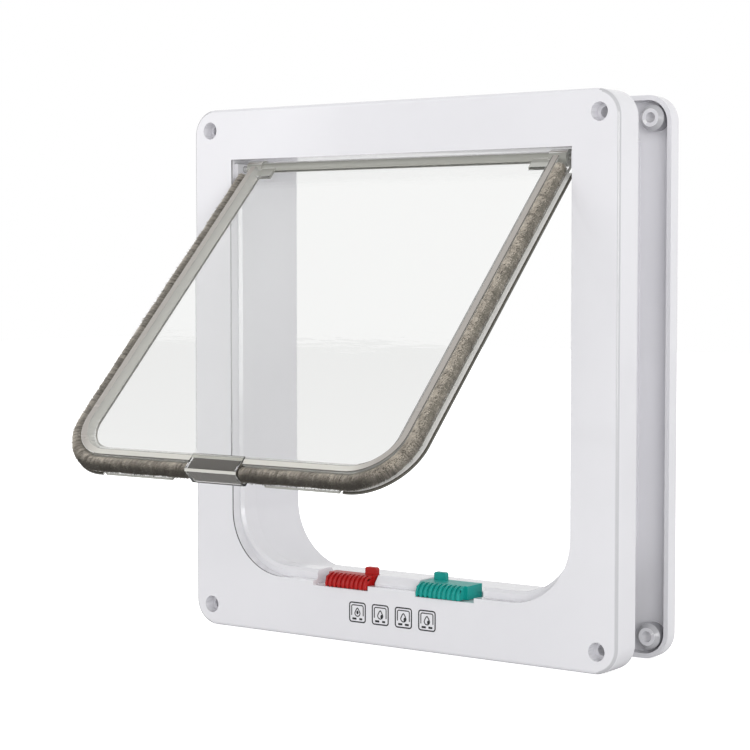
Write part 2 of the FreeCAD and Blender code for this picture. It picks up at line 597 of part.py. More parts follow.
def build_hinge_bush(name, side):
    """Build one hinge bush: a block through the side wall, a lip behind the wall and the rod's hole."""
    body = new_body(f"hinge_bush_{name}")
    wall_outside = "({opening_half} + {tunnel_wall})"
    block_start = "{bush_inner}" if side > 0 else "-({bush_inner} + {bush_length})"
    block = new_sketch(body, f"bush_block_{name}", "YZ_Plane", block_start)
    half_depth = "{bush_depth} / 2"
    half_height = "{bush_height} / 2"
    draw_rectangle(block, f"{{hinge_setback}} - {half_depth}", f"{{hinge_setback}} + {half_depth}",
                   f"{{bush_middle}} - {half_height}", f"{{bush_middle}} + {half_height}")
    pad(body, block, "{bush_length}")
    lip_start = wall_outside if side > 0 else f"-({wall_outside} + {{bush_lip}})"
    lip = new_sketch(body, f"bush_lip_{name}", "YZ_Plane", lip_start)
    draw_rectangle(lip, f"{{hinge_setback}} - {half_depth}",
                   f"{{hinge_setback}} + {half_depth} + {{bush_lip}}",
                   f"{{bush_middle}} - {half_height} - {{bush_lip}}",
                   f"{{bush_middle}} + {half_height} + {{bush_lip}}")
    pad(body, lip, "{bush_lip}")
    hole_start = "{bush_inner}" if side > 0 else "-{bush_inner}"
    hole = new_sketch(body, f"bush_hole_{name}", "YZ_Plane", hole_start)
    draw_circle(hole, "{hinge_setback}", "{hinge_height}", "{rod_bore}")
    pocket(body, hole, "{bush_length} - {bush_lip}", forward=side > 0)
    return keep(body, f"hinge_bush_{name}")


def build_sill_cover():
    """Build the cover between the sliders, which holds the sill's magnet."""
    body = new_body("sill_cover")
    profile = new_sketch(body, "cover_profile", "YZ_Plane", "-{cover_half_width}")
    draw_polygon(profile, [
        ("{cover_front}", "{opening_bottom}"),
        ("{cover_back}", "{opening_bottom}"),
        ("{cover_back}", "{cover_top} - {land_bevel} / 2"),
        ("{cover_back} - {land_bevel} / 2", "{cover_top}"),
        ("{cover_front} + {land_bevel} * 2", "{cover_top}"),
        ("{cover_front}", "{opening_bottom} + {cover_wall}"),
    ])
    pad(body, profile, "{cover_half_width} * 2")
    hollow = new_sketch(body, "cover_hollow", "XY_Plane", "{opening_bottom}")
    draw_rectangle(hollow, "-({cover_half_width} - {cover_wall})", "{cover_half_width} - {cover_wall}",
                   "{cover_front} + {land_bevel} * 2 + {cover_wall}", "{cover_back} - {cover_wall}")
    pocket(body, hollow, "{cover_height} - {cover_wall}", forward=True)
    return keep(body, "sill_cover")


def build_sill_magnet():
    """Build the magnet under the sill cover."""
    magnet = doc.addObject("Part::Box", "sill_magnet")
    gap = "{magnet_clearance}"
    front = "{cover_front} + {land_bevel} * 2 + {cover_wall}"
    magnet.setExpression("Length", sized(f"2 * ({{cover_half_width}} - {{cover_wall}} - {gap})"))
    magnet.setExpression("Width", sized(f"{{cover_back}} - {{cover_wall}} - ({front}) - 2 * {gap}"))
    magnet.setExpression("Height", sized(f"{{cover_height}} - {{cover_wall}} - {gap}"))
    magnet.setExpression("Placement.Base.x", sized(f"-({{cover_half_width}} - {{cover_wall}} - {gap})"))
    magnet.setExpression("Placement.Base.y", sized(f"{front} + {gap}"))
    magnet.setExpression("Placement.Base.z", sized("{opening_bottom}"))
    return keep(magnet, "sill_magnet")


# Rear frame: a shallow tray with a collar that slides on the tunnel

def build_rear_frame():
    """Build the rear frame."""
    body = new_body("rear_frame")
    back = "{door_gap} + {rear_depth}"
    bore = "({tunnel_wall} + {collar_clearance})"
    plate = new_sketch(body, "rear_plate", "XZ_Plane", back)
    draw_frame_outline(plate)
    draw_opening(plate, bore)
    pad(body, plate, "{rear_plate}")
    rim = new_sketch(body, "rear_rim", "XZ_Plane", back)
    draw_frame_outline(rim)
    draw_frame_outline(rim, "{rear_rim}")
    pad(body, rim, "{rear_depth}")
    dress_edges(body, "Fillet", "{rear_edge_round}",
                lambda edge: is_outer_edge(edge, value_of(back)), "rear_edge")
    inner = new_sketch(body, "rear_core", "XZ_Plane", back + " - {rear_plate} / 2")
    draw_frame_outline(inner, "{rear_rim}")
    draw_opening(inner, bore)
    pad(body, inner, "{rear_plate} / 2")
    collar = new_sketch(body, "rear_collar", "XZ_Plane", back)
    draw_opening(collar, bore)
    draw_opening(collar, f"({bore} + {{collar_wall}})")
    pad(body, collar, "{rear_depth} + {collar_reach}")
    bosses = new_sketch(body, "rear_bosses", "XZ_Plane", back + " - {rear_plate} / 2")
    draw_screws(bosses, "{screw_tube_width}")
    pad(body, bosses, "{rear_depth} - {rear_plate} / 2 + {boss_proud}")
    front = "{door_gap} - {boss_proud}"
    dress_edges(body, "Chamfer", "{boss_bevel}",
                lambda edge: lies_at(edge, 1, value_of(front)), "boss_bevel")
    holes = new_sketch(body, "rear_holes", "XZ_Plane", front)
    draw_screws(holes, "{screw_hole_bore}")
    pocket(body, holes, "{rear_depth} + {boss_proud}")
    return keep(body, "rear_frame")


# Flap, drawn hanging straight down with the hinge axis at its origin

def hang(piece):
    """Put a piece that was drawn about the hinge axis on the hinge, swung open to the front."""
    piece.Placement.Rotation = FreeCAD.Rotation(FreeCAD.Vector(1, 0, 0), -value_of("{flap_open_angle}"))
    piece.setExpression("Placement.Base.y", sized("{hinge_setback}"))
    piece.setExpression("Placement.Base.z", sized("{hinge_height}"))


def rail_section(sketch):
    """Draw the forked section of the rail, the front flange set back, at the left side's top."""
    edge = "-{rail_half_width}"
    front_edge = f"{edge} + {{flange_setback}}"
    half = "{rail_thickness} / 2"
    groove = "({rail_thickness} / 2 - {flange_wall})"
    root = "{groove_root} / 2"
    front = [
        (front_edge, f"-({half})"),
        (f"{edge} + {{flange_depth}}", f"-({half})"),
        (f"{edge} + {{rail_depth}}", "-{sheet_wall} / 2"),
    ]
    back = [
        (f"{edge} + {{rail_depth}}", "{sheet_wall} / 2"),
        (f"{edge} + {{flange_depth}}", half),
        (edge, half),
    ]
    inside = [
        (edge, groove),
        (f"{edge} + {{groove_straight}}", groove),
        (f"{edge} + {{groove_depth}}", root),
        (f"{edge} + {{groove_depth}}", f"-{root}"),
        (f"{edge} + {{groove_straight}}", f"-{groove}"),
        (front_edge, f"-{groove}"),
    ]
    draw_polygon(sketch, front + back + inside)


def build_flap_panel():
    """Build the clear flap: sheet, forked rail round three sides, hinge barrel and catch lips."""
    body = new_body("flap_panel")
    rail = new_sketch(body, "rail_section", "XY_Plane", "-{rail_start}")
    rail_section(rail)
    path = new_sketch(body, "rail_path", "XZ_Plane")
    draw_path(path, [("-{rail_half_width}", "-{rail_start}"), ("-{rail_half_width}", "-{rail_drop}"),
                     ("{rail_half_width}", "-{rail_drop}"), ("{rail_half_width}", "-{rail_start}")],
              "{rail_radius}")
    doc.recompute()
    pipe(body, rail, path)
    inset = "({rail_depth} - {flange_wall} / 2)"
    clear = new_sketch(body, "clear_sheet", "XZ_Plane", "{sheet_wall} / 2")
    draw_rounded(clear, f"{{rail_half_width}} - {inset}", f"-{{rail_drop}} + {inset}", "0",
                 f"{{rail_radius}} - {inset}")
    pad(body, clear, "{sheet_wall}")
    barrel_half = "({rail_half_width} - {rail_depth} / 2)"
    barrel = new_sketch(body, "barrel", "YZ_Plane", f"-{barrel_half}")
    draw_circle(barrel, "0", "0", "{barrel_width}")
    pad(body, barrel, f"{barrel_half} * 2")
    for name, side in SIDES:
        start = "({rail_half_width} - {rail_depth})" if side > 0 else "-{rail_half_width}"
        knuckle = new_sketch(body, f"knuckle_{name}", "YZ_Plane", start)
        draw_circle(knuckle, "0", "0", "{rail_thickness}")
        pad(body, knuckle, "{rail_depth}")
        start = "({rail_half_width} - {rail_depth} - {gusset_reach})" if side > 0 else \
            "-({rail_half_width} - {rail_depth} + {sheet_wall} / 2)"
        gusset = new_sketch(body, f"gusset_{name}", "YZ_Plane", start)
        draw_polygon(gusset, [
            ("-{gusset_thickness} / 2", "0"),
            ("-{gusset_thickness} / 2", "-{gusset_drop} + {flange_wall}"),
            ("-{gusset_thickness} / 2 + {flange_wall}", "-{gusset_drop}"),
            ("{gusset_thickness} / 2 - {flange_wall}", "-{gusset_drop}"),
            ("{gusset_thickness} / 2", "-{gusset_drop} + {flange_wall}"),
            ("{gusset_thickness} / 2", "0"),
        ])
        pad(body, gusset, "{gusset_reach} + {sheet_wall} / 2")
        lip = new_sketch(body, f"catch_lip_{name}", "XZ_Plane", "{rail_thickness} / 2")
        ends = ("{lip_inner}", "{lip_outer}") if side > 0 else ("-{lip_outer}", "-{lip_inner}")
        draw_rectangle(lip, *ends, "-{lip_drop}", "-{rail_drop} + {flange_depth} / 2")
        pad(body, lip, "{flange_wall}")
    seat = new_sketch(body, "holder_seat", "XZ_Plane", "{rail_thickness}")
    draw_rectangle(seat, "-{holder_half_width} - {magnet_clearance}",
                   "{holder_half_width} + {magnet_clearance}", "-{lip_drop}", "-{holder_seat_drop}")
    pocket(body, seat, "{rail_thickness} * 2", forward=True)
    bore = new_sketch(body, "barrel_bore", "YZ_Plane", "-({rail_half_width} + {cut_margin})")
    draw_circle(bore, "0", "0", "{rod_bore}")
    pocket(body, bore, "({rail_half_width} + {cut_margin}) * 2", forward=True)
    hang(body)
    return keep(body, "flap_panel")


def build_pile_strip(name, side):
    """Build one half of the pile seal: down the side, round the corner and along to the holder."""
    body = new_body(f"pile_strip_{name}")
    sign = "" if side > 0 else "-"
    inward = "-" if side > 0 else "+"
    section = new_sketch(body, f"pile_section_{name}", "XY_Plane", "-{pile_start}")
    crest = f"{sign}{{pile_half_width}}"
    half = "{pile_thickness} / 2"
    face = "({rail_thickness} / 2 - {pile_front_gap})"
    step = f"{sign}({{front_flange_half}} + {{pile_flange_gap}})"
    narrow = f"{crest} {inward} ({{pile_depth}} - {{groove_straight}})"
    front = [
        (crest, f"-{face} + {{pile_nose}} * 6"),
        (f"{crest} {inward} {{pile_nose}}", f"-{face} + {{pile_nose}} * 3"),
        (f"{crest} {inward} {{pile_nose}} * 4", f"-{face}"),
        (step, f"-{face}"),
        (step, f"-({half})"),
        (narrow, f"-({half})"),
        (f"{crest} {inward} {{pile_depth}}", f"-({half}) / 3"),
    ]
    back = [
        (f"{crest} {inward} {{pile_depth}}", f"{half} / 3"),
        (narrow, half),
        (f"{crest} {inward} {{pile_nose}} * 3", half),
        (crest, f"{half} - {{pile_nose}} * 2"),
    ]
    draw_polygon(section, front + back)
    path = new_sketch(body, f"pile_path_{name}", "XZ_Plane")
    draw_path(path, [(crest, "-{pile_start}"), (crest, "-{pile_drop}"),
                     (f"{sign}{{pile_inner}}", "-{pile_drop}")], "{pile_radius}")
    doc.recompute()
    pipe(body, section, path)
    relief = new_sketch(body, f"pile_relief_{name}", "XZ_Plane", "{pile_thickness}")
    ends = ("{pile_inner} - {cut_margin}", "{pile_relief_outer}")
    if side < 0:
        ends = ("-{pile_relief_outer}", "-{pile_inner} + {cut_margin}")
    draw_rectangle(relief, *ends, "-{pile_drop} - {cut_margin}", "-{pile_relief_drop}")
    pocket(body, relief, "{pile_thickness} * 2", forward=True)
    hang(body)
    return keep(body, f"pile_strip_{name}")


def build_magnet_holder():
    """Build the clear box on the flap's lower rail that holds its magnet."""
    body = new_body("magnet_holder")
    half = "{holder_thickness} / 2"
    bevel = "{holder_bevel}"
    outline = new_sketch(body, "holder_outline", "YZ_Plane", "-{holder_half_width}")
    draw_polygon(outline, [
        (f"-({half})", "-{holder_top_drop}"), (f"-({half})", f"-{{holder_bottom_drop}} + {bevel}"),
        (f"-({half}) + {bevel}", "-{holder_bottom_drop}"), (f"{half} - {bevel}", "-{holder_bottom_drop}"),
        (half, f"-{{holder_bottom_drop}} + {bevel}"), (half, "-{holder_top_drop}"),
    ])
    pad(body, outline, "{holder_half_width} * 2")
    saddle = new_sketch(body, "holder_saddle", "YZ_Plane", "-({holder_half_width} + {cut_margin})")
    reach = "({rail_thickness} / 2 + {magnet_clearance} / 2)"
    draw_rectangle(saddle, f"-{reach}", reach, "-{holder_seat_drop} - {magnet_clearance}",
                   "-{holder_top_drop} + {cut_margin}")
    pocket(body, saddle, "({holder_half_width} + {cut_margin}) * 2", forward=True)
    room = new_sketch(body, "holder_room", "YZ_Plane", "-({holder_half_width} - {holder_end_wall})")
    draw_magnet_outline(room, "0")
    pocket(body, room, "({holder_half_width} - {holder_end_wall}) * 2", forward=True)
    hang(body)
    return keep(body, "magnet_holder")


def draw_magnet_outline(sketch, gap):
    """Draw the section of the room in the holder, or of the magnet, which is gap smaller."""
    half = f"({{rail_thickness}} / 2 - {gap})"
    bottom = f"-({{holder_bottom_drop}} - {{holder_wall}} - {gap})"
    draw_polygon(sketch, [
        (f"-{half}", f"-{{holder_seat_drop}} - {gap}"), (f"-{half}", f"{bottom} + {{holder_bevel}}"),
        (f"-{half} + {{holder_bevel}}", bottom), (f"{half} - {{holder_bevel}}", bottom),
        (half, f"{bottom} + {{holder_bevel}}"), (half, f"-{{holder_seat_drop}} - {gap}"),
    ])


def build_flap_magnet():
    """Build the magnet in the holder's nose."""
    body = new_body("flap_magnet")
    half = "({holder_half_width} - {holder_end_wall} - {magnet_clearance})"
    section = new_sketch(body, "magnet_section", "YZ_Plane", f"-{half}")
    draw_magnet_outline(section, "{magnet_clearance}")
    pad(body, section, f"{half} * 2")
    hang(body)
    return keep(body, "flap_magnet")


def build_hinge_rod():
    """Build the steel rod through the barrel, whose ends turn in the bushes."""
    rod = doc.addObject("Part::Cylinder", "hinge_rod")
    rod.setExpression("Radius", sized("{rod_width} / 2"))
    rod.setExpression("Height", sized("{rod_half_length} * 2"))
    rod.Placement.Rotation = FreeCAD.Rotation(FreeCAD.Vector(0, 1, 0), 90)
    rod.setExpression("Placement.Base.x", sized("-{rod_half_length}"))
    rod.setExpression("Placement.Base.y", sized("{hinge_setback}"))
    rod.setExpression("Placement.Base.z", sized("{hinge_height}"))
    return keep(rod, "hinge_rod")


# Sliders: a ribbed grip over the front lip, a plate in the channel, a tab and a hooked foot

def draw_grip(sketch, inset):
    """Draw the quarter-round section of a grip, its round face moved in by inset."""
    front = f"({{grip_front}} + {inset})"
    top = f"({{slider_top}} - {inset})"
    radius = "{grip_round}"
    back = "{grip_back} + {grip_lap}"
    points = [(front, "{slider_bottom}"), (back, "{slider_bottom}"), (back, top),
              (f"{front} + {radius}", top), (front, f"{top} - {radius}")]
    vectors = [FreeCAD.Vector(value_of(across), value_of(up), 0) for across, up in points]
    lines = [sketch.addGeometry(Part.LineSegment(vectors[index], vectors[index + 1]), False)
             for index in range(3)]
    bend = value_of(radius)
    centre = vectors[4] + FreeCAD.Vector(bend, 0, 0)
    circle = Part.Circle(centre, FreeCAD.Vector(0, 0, 1), bend)
    arc = sketch.addGeometry(Part.ArcOfCircle(circle, math.pi / 2, math.pi), False)
    closing = sketch.addGeometry(Part.LineSegment(vectors[4], vectors[0]), False)
    for line, (across, up) in zip(lines, points):
        fix_coordinate(sketch, line, 1, "DistanceX", across)
        fix_coordinate(sketch, line, 1, "DistanceY", up)
    sketch.addConstraint(Sketcher.Constraint("Coincident", lines[0], 2, lines[1], 1))
    sketch.addConstraint(Sketcher.Constraint("Coincident", lines[1], 2, lines[2], 1))
    sketch.addConstraint(Sketcher.Constraint("Horizontal", lines[2]))
    sketch.addConstraint(Sketcher.Constraint("Vertical", closing))
    sketch.addConstraint(Sketcher.Constraint("Coincident", closing, 2, lines[0], 1))
    sketch.addConstraint(Sketcher.Constraint("Tangent", arc, 1, lines[2], 2))
    sketch.addConstraint(Sketcher.Constraint("Tangent", arc, 2, closing, 1))
    number = sketch.addConstraint(Sketcher.Constraint("Radius", arc, bend))
    sketch.setExpression(f"Constraints[{number}]", sized(radius))


def start_of(side, inner, length):
    """Give the lower end, along X, of a stretch that starts at inner on either side."""
    return inner if side > 0 else f"-({inner} + {length})"


def build_slider(label, side, back):
    """Build one slider, whose plate and tab end at back along Y."""
    body = new_body(label)
    grip = new_sketch(body, f"{label}_grip", "YZ_Plane", start_of(side, "{grip_inner}", "{grip_length}"))
    draw_grip(grip, "{grip_rib_height}")
    pad(body, grip, "{grip_length}")
    length = "({carriage_outer} - {carriage_inner})"
    carriage = new_sketch(body, f"{label}_plate", "YZ_Plane",
                          start_of(side, "{carriage_inner}", length))
    draw_rectangle(carriage, "{grip_back}", back, "{slider_bottom}", "{slider_top}")
    pad(body, carriage, length)
    tab = new_sketch(body, f"{label}_tab", "YZ_Plane", start_of(side, "{tab_inner}", "{tab_width}"))
    draw_rectangle(tab, f"{back} - {{tab_thickness}}", back, "{slider_top} - {grip_wall}", "{tab_top}")
    pad(body, tab, "{tab_width}")
    top = value_of("{tab_top}")
    dress_edges(body, "Fillet", "{tab_round}",
                lambda edge: lies_at(edge, 2, top) and edge.BoundBox.YLength > edge.BoundBox.XLength,
                f"{label}_tab_round")
    post = new_sketch(body, f"{label}_foot", "XY_Plane", "{slider_bottom}")
    foot_start = start_of(side, "{foot_inner}", "{foot_length}")
    foot_ends = (foot_start, f"({foot_start}) + {{foot_length}}")
    half = "{foot_width} / 2"
    drop = "({tunnel_wall} + {slider_clearance} * 2)"
    draw_rectangle(post, *foot_ends, f"{{foot_centre}} - {half}", f"{{foot_centre}} + {half}")
    foot = pad(body, post, f"{drop} + {{foot_lip_height}}")
    foot.Reversed = True
    hook = new_sketch(body, f"{label}_hook", "XY_Plane",
                      f"{{slider_bottom}} - {drop} - {{foot_lip_height}}")
    half = "({foot_width} / 2 + {foot_lip})"
    draw_rectangle(hook, *foot_ends, f"{{foot_centre}} - {half}", f"{{foot_centre}} + {half}")
    pad(body, hook, "{foot_lip_height}")
    hollow = new_sketch(body, f"{label}_hollow", "XY_Plane", "{slider_bottom}")
    hollow_start = start_of(side, "{grip_inner} + {grip_wall}", "({grip_length} - {grip_wall} * 2)")
    draw_rectangle(hollow, hollow_start, f"({hollow_start}) + {{grip_length}} - {{grip_wall}} * 2",
                   "{grip_front} + {grip_wall} * 1.5", "{grip_back}")
    pocket(body, hollow, "{grip_round} - {grip_wall} / 2", forward=True)
    rib_start = start_of(side, "{grip_inner}", "{grip_length}")
    rib = new_sketch(body, f"{label}_rib", "YZ_Plane", rib_start)
    draw_rib(rib)
    rib_pad = pad(body, rib, "{grip_rib_wall}")
    doc.recompute()
    row_of_ribs = body.newObject("PartDesign::LinearPattern", f"{label}_ribs")
    row_of_ribs.Originals = [rib_pad]
    row_of_ribs.Direction = (rib, ["N_Axis"])
    row_of_ribs.setExpression("Length", sized("{grip_length} - {grip_rib_wall}"))
    row_of_ribs.setExpression("Occurrences", sized("{grip_rib_count}"))
    body.Tip = row_of_ribs
    return keep(body, label)


def draw_rib(sketch):
    """Draw one thin rib that follows the grip's round face, proud of it."""
    front, top = value_of("{grip_front}"), value_of("{slider_top}")
    bend = value_of("{grip_round}")
    low = value_of("{slider_bottom} + {slider_clearance}")
    thick = value_of("{grip_rib_height}") + OVERLAP
    vector = FreeCAD.Vector
    centre = vector(front + bend, top - bend, 0)
    outer = Part.ArcOfCircle(Part.Circle(centre, vector(0, 0, 1), bend), math.pi / 2, math.pi)
    inner = Part.ArcOfCircle(Part.Circle(centre, vector(0, 0, 1), bend - thick), math.pi / 2, math.pi)
    arc_out = sketch.addGeometry(outer, False)
    arc_in = sketch.addGeometry(inner, False)
    down_out = sketch.addGeometry(Part.LineSegment(vector(front, top - bend, 0),
                                                   vector(front, low, 0)), False)
    foot = sketch.addGeometry(Part.LineSegment(vector(front, low, 0), vector(front + thick, low, 0)), False)
    down_in = sketch.addGeometry(Part.LineSegment(vector(front + thick, low, 0),
                                                  vector(front + thick, top - bend, 0)), False)
    end = sketch.addGeometry(Part.LineSegment(vector(front + bend, top - thick, 0),
                                              vector(front + bend, top, 0)), False)
    joints = [(arc_out, 2, down_out, 1, "Tangent"), (down_out, 2, foot, 1, "Coincident"),
              (foot, 2, down_in, 1, "Coincident"), (down_in, 2, arc_in, 2, "Tangent"),
              (arc_in, 1, end, 1, "Coincident"), (end, 2, arc_out, 1, "Coincident")]
    for first, first_end, second, second_end, kind in joints:
        sketch.addConstraint(Sketcher.Constraint(kind, first, first_end, second, second_end))
    for line, kind in ((down_out, "Vertical"), (foot, "Horizontal"), (down_in, "Vertical"),
                       (end, "Vertical")):
        sketch.addConstraint(Sketcher.Constraint(kind, line))
    sketch.addConstraint(Sketcher.Constraint("Coincident", arc_out, 3, arc_in, 3))
    fix_coordinate(sketch, arc_out, 3, "DistanceX", "{grip_front} + {grip_round}")
    fix_coordinate(sketch, arc_out, 3, "DistanceY", "{slider_top} - {grip_round}")
    fix_coordinate(sketch, foot, 1, "DistanceY", "{slider_bottom} + {slider_clearance}")
    fix_coordinate(sketch, end, 1, "DistanceX", "{grip_front} + {grip_round}")
    for arc, formula in ((arc_out, "{grip_round}"),
                         (arc_in, f"{{grip_round}} - {{grip_rib_height}} - {OVERLAP}")):
        number = sketch.addConstraint(Sketcher.Constraint("Radius", arc, value_of(formula)))
        sketch.setExpression(f"Constraints[{number}]", sized(formula))


# The whole cat flap

build_front_frame()
for side_name, side_sign in SIDES:
    build_hinge_bush(side_name, side_sign)
build_sill_cover()
build_sill_magnet()
build_rear_frame()
build_flap_panel()
for side_name, side_sign in SIDES:
    build_pile_strip(side_name, side_sign)
build_magnet_holder()
build_flap_magnet()
build_hinge_rod()
build_slider("red_slider", -1, "{red_tab_back}")
build_slider("green_slider", 1, "{green_tab_back}")
doc.recompute()

faults = [item.Name for item in doc.Objects if {"Invalid", "Error"} & set(item.State)]
faults += [piece.Label for piece in SUBPARTS if piece.Shape.isNull() or not piece.Shape.isValid()]
faults += [piece.Label for piece in SUBPARTS if len(piece.Shape.Solids) != 1]
if faults:
    raise RuntimeError("faulty: " + ", ".join(faults))

os.makedirs("parts", exist_ok=True)
for piece in SUBPARTS:
    piece.Shape.exportStep(f"parts/{piece.Label}.step")
    box = piece.Shape.BoundBox
    print(f"{piece.Label}: {piece.Shape.Volume / 1000:.2f} cm3, "
          f"X {box.XMin:.1f} to {box.XMax:.1f}, Y {box.YMin:.1f} to {box.YMax:.1f}, "
          f"Z {box.ZMin:.1f} to {box.ZMax:.1f}")
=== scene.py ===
"""Looks of a cat flap: a glossy white frame with a tunnel, a rear frame, a clear flap edged with pile
that hangs from a steel rod, and two coloured sliders on the sill that lock it."""

import json
import logging
import math
from collections.abc import Callable
from dataclasses import dataclass, field
from enum import Enum

import bmesh
import bpy
import numpy as np
from mathutils import Matrix, Vector, noise


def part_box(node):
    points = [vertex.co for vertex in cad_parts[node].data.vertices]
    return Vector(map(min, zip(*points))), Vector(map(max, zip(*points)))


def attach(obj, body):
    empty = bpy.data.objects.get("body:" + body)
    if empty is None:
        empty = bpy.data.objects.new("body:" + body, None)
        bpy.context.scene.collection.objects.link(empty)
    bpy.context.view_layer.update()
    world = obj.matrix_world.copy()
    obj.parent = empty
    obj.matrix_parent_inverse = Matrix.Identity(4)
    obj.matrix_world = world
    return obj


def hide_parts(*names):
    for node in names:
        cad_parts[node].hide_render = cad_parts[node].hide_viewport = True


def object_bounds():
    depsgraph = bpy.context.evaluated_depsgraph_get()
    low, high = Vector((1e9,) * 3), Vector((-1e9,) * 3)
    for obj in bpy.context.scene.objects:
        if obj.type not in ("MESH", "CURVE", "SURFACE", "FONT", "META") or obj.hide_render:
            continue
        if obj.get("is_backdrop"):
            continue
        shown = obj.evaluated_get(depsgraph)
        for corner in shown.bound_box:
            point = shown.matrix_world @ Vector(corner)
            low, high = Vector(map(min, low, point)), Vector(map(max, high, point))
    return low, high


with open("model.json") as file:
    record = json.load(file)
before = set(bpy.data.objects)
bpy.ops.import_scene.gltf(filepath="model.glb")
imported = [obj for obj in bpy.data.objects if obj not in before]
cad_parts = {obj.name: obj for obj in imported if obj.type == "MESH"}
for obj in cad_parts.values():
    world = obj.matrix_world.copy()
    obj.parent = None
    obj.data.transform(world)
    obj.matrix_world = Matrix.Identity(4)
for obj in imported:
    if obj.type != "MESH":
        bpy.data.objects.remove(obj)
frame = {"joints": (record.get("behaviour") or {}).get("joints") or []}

MM = 0.001
OPEN_ANGLE = math.radians(-45.0)
LOG = logging.getLogger("cat_flap")

Colour = tuple[float, float, float]
Point = tuple[float, float, float]


class Side(Enum):
    """The two sides of the flap, seen from its front; the value is the sign of X."""

    LEFT = -1
    RIGHT = 1


# Work at the bench


class Bench:
    """The edit-mode steps that pieces go through, in short forms."""

    @staticmethod
    def take(piece: bpy.types.Object) -> None:
        """Select one piece alone and make it the active one."""
        bpy.ops.object.select_all(action="DESELECT")
        piece.select_set(True)
        bpy.context.view_layer.objects.active = piece

    @staticmethod
    def open(piece: bpy.types.Object, pick: str = "SELECT") -> None:
        """Open a piece for editing with all of it selected, or nothing.

        Args:
            piece: The piece to edit.
            pick: SELECT or DESELECT.
        """
        Bench.take(piece)
        bpy.ops.object.mode_set(mode="EDIT")
        bpy.ops.mesh.select_all(action=pick)

    @staticmethod
    def close() -> None:
        """Go back to object mode."""
        bpy.ops.object.mode_set(mode="OBJECT")

    @staticmethod
    def pick_faces(piece: bpy.types.Object, wanted: Callable[[bmesh.types.BMFace], bool]) -> None:
        """Select the faces of an open piece that a test picks, and no others.

        Args:
            piece: The piece, in edit mode.
            wanted: Tells whether a face is picked.
        """
        bpy.ops.mesh.select_mode(type="FACE")
        bpy.ops.mesh.select_all(action="DESELECT")
        shape = bmesh.from_edit_mesh(piece.data)
        for face in shape.faces:
            face.select_set(wanted(face))
        bmesh.update_edit_mesh(piece.data)

    @staticmethod
    def is_narrow(face: bmesh.types.BMFace) -> bool:
        """Tell whether a face is a strip along a softened edge."""
        return face.calc_area() / max(edge.calc_length() for edge in face.edges) < 0.32 * MM

    @staticmethod
    def dress(piece: bpy.types.Object, material: bpy.types.Material,
              wanted: Callable[[bmesh.types.BMFace], bool]) -> None:
        """Give some faces of a piece a further material.

        Args:
            piece: The piece, which has its first material.
            material: The further one.
            wanted: Tells whether a face gets it.
        """
        Bench.open(piece, "DESELECT")
        Bench.pick_faces(piece, wanted)
        bpy.ops.object.material_slot_add()
        piece.active_material = material
        bpy.ops.object.material_slot_assign()
        Bench.close()

    @staticmethod
    def added(name: str) -> bpy.types.Object:
        """Name the object that an operator has just added."""
        piece = bpy.context.object
        piece.name = name
        piece.data.name = name
        return piece

    @staticmethod
    def bevel(piece: bpy.types.Object, width: float, segments: int = 2, angle: float = 35.0) -> None:
        """Round the sharp edges of a piece and shade it smooth between them.

        Args:
            piece: The piece.
            width: Width of the rounding, in metres.
            segments: Faces across the rounding.
            angle: Edges that turn more than this, in degrees, are sharp.
        """
        Bench.take(piece)
        rounding = piece.modifiers.new("rounding", "BEVEL")
        rounding.width = width
        rounding.segments = segments
        rounding.limit_method = "ANGLE"
        rounding.angle_limit = math.radians(angle)
        rounding.use_clamp_overlap = True
        bpy.ops.object.modifier_apply(modifier=rounding.name)
        Bench.smooth(piece, angle)

    @staticmethod
    def smooth(piece: bpy.types.Object, angle: float) -> None:
        """Shade a piece smooth but for its sharp edges, and keep its large faces flat.

        Args:
            piece: The piece.
            angle: Edges that turn more than this, in degrees, stay sharp.
        """
        Bench.take(piece)
        bpy.ops.object.shade_smooth_by_angle(angle=math.radians(angle))
        weights = piece.modifiers.new("flat_faces", "WEIGHTED_NORMAL")
        weights.keep_sharp = True
        weights.mode = "FACE_AREA"
        weights.weight = 100
        bpy.ops.object.modifier_apply(modifier=weights.name)

    @staticmethod
    def moulded_copy(node: str, name: str, round_width: float, angle: float = 35.0) -> bpy.types.Object:
        """Make a whole mesh from a CAD node's loose triangles, with softened edges.

        Args:
            node: The CAD node.
            name: Name of the new piece.
            round_width: Width of the softened edges, in metres, or 0 for crisp ones.
            angle: Edges that turn more than this, in degrees, are softened.

        Returns:
            The new piece, which still has to ride on a body.
        """
        piece = bpy.data.objects.new(name, bpy.data.objects[node].data.copy())
        piece.data.name = name
        bpy.context.scene.collection.objects.link(piece)
        piece.data.materials.clear()
        Bench.open(piece)
        bpy.ops.mesh.customdata_custom_splitnormals_clear()
        bpy.ops.mesh.remove_doubles(threshold=0.001 * MM)
        bpy.ops.mesh.dissolve_limited(angle_limit=math.radians(0.3))
        Bench.close()
        if round_width:
            Bench.bevel(piece, round_width, angle=angle)
        else:
            Bench.smooth(piece, angle)
        return piece


@dataclass(frozen=True)
class Contour:
    """An outline with straight sides and two rounded lower corners, about the middle of X."""

    half_width: float
    bottom: float
    radius: float

    def inset(self, x: float, z: float) -> float:
        """Measure how far inside the outline a point lies; points near its open top count as inside."""
        across = abs(x) - (self.half_width - self.radius)
        down = (self.bottom + self.radius) - z
        if across > 0.0 and down > 0.0:
            return self.radius - math.hypot(across, down)
        return min(self.half_width - abs(x), z - self.bottom)


# Shader networks


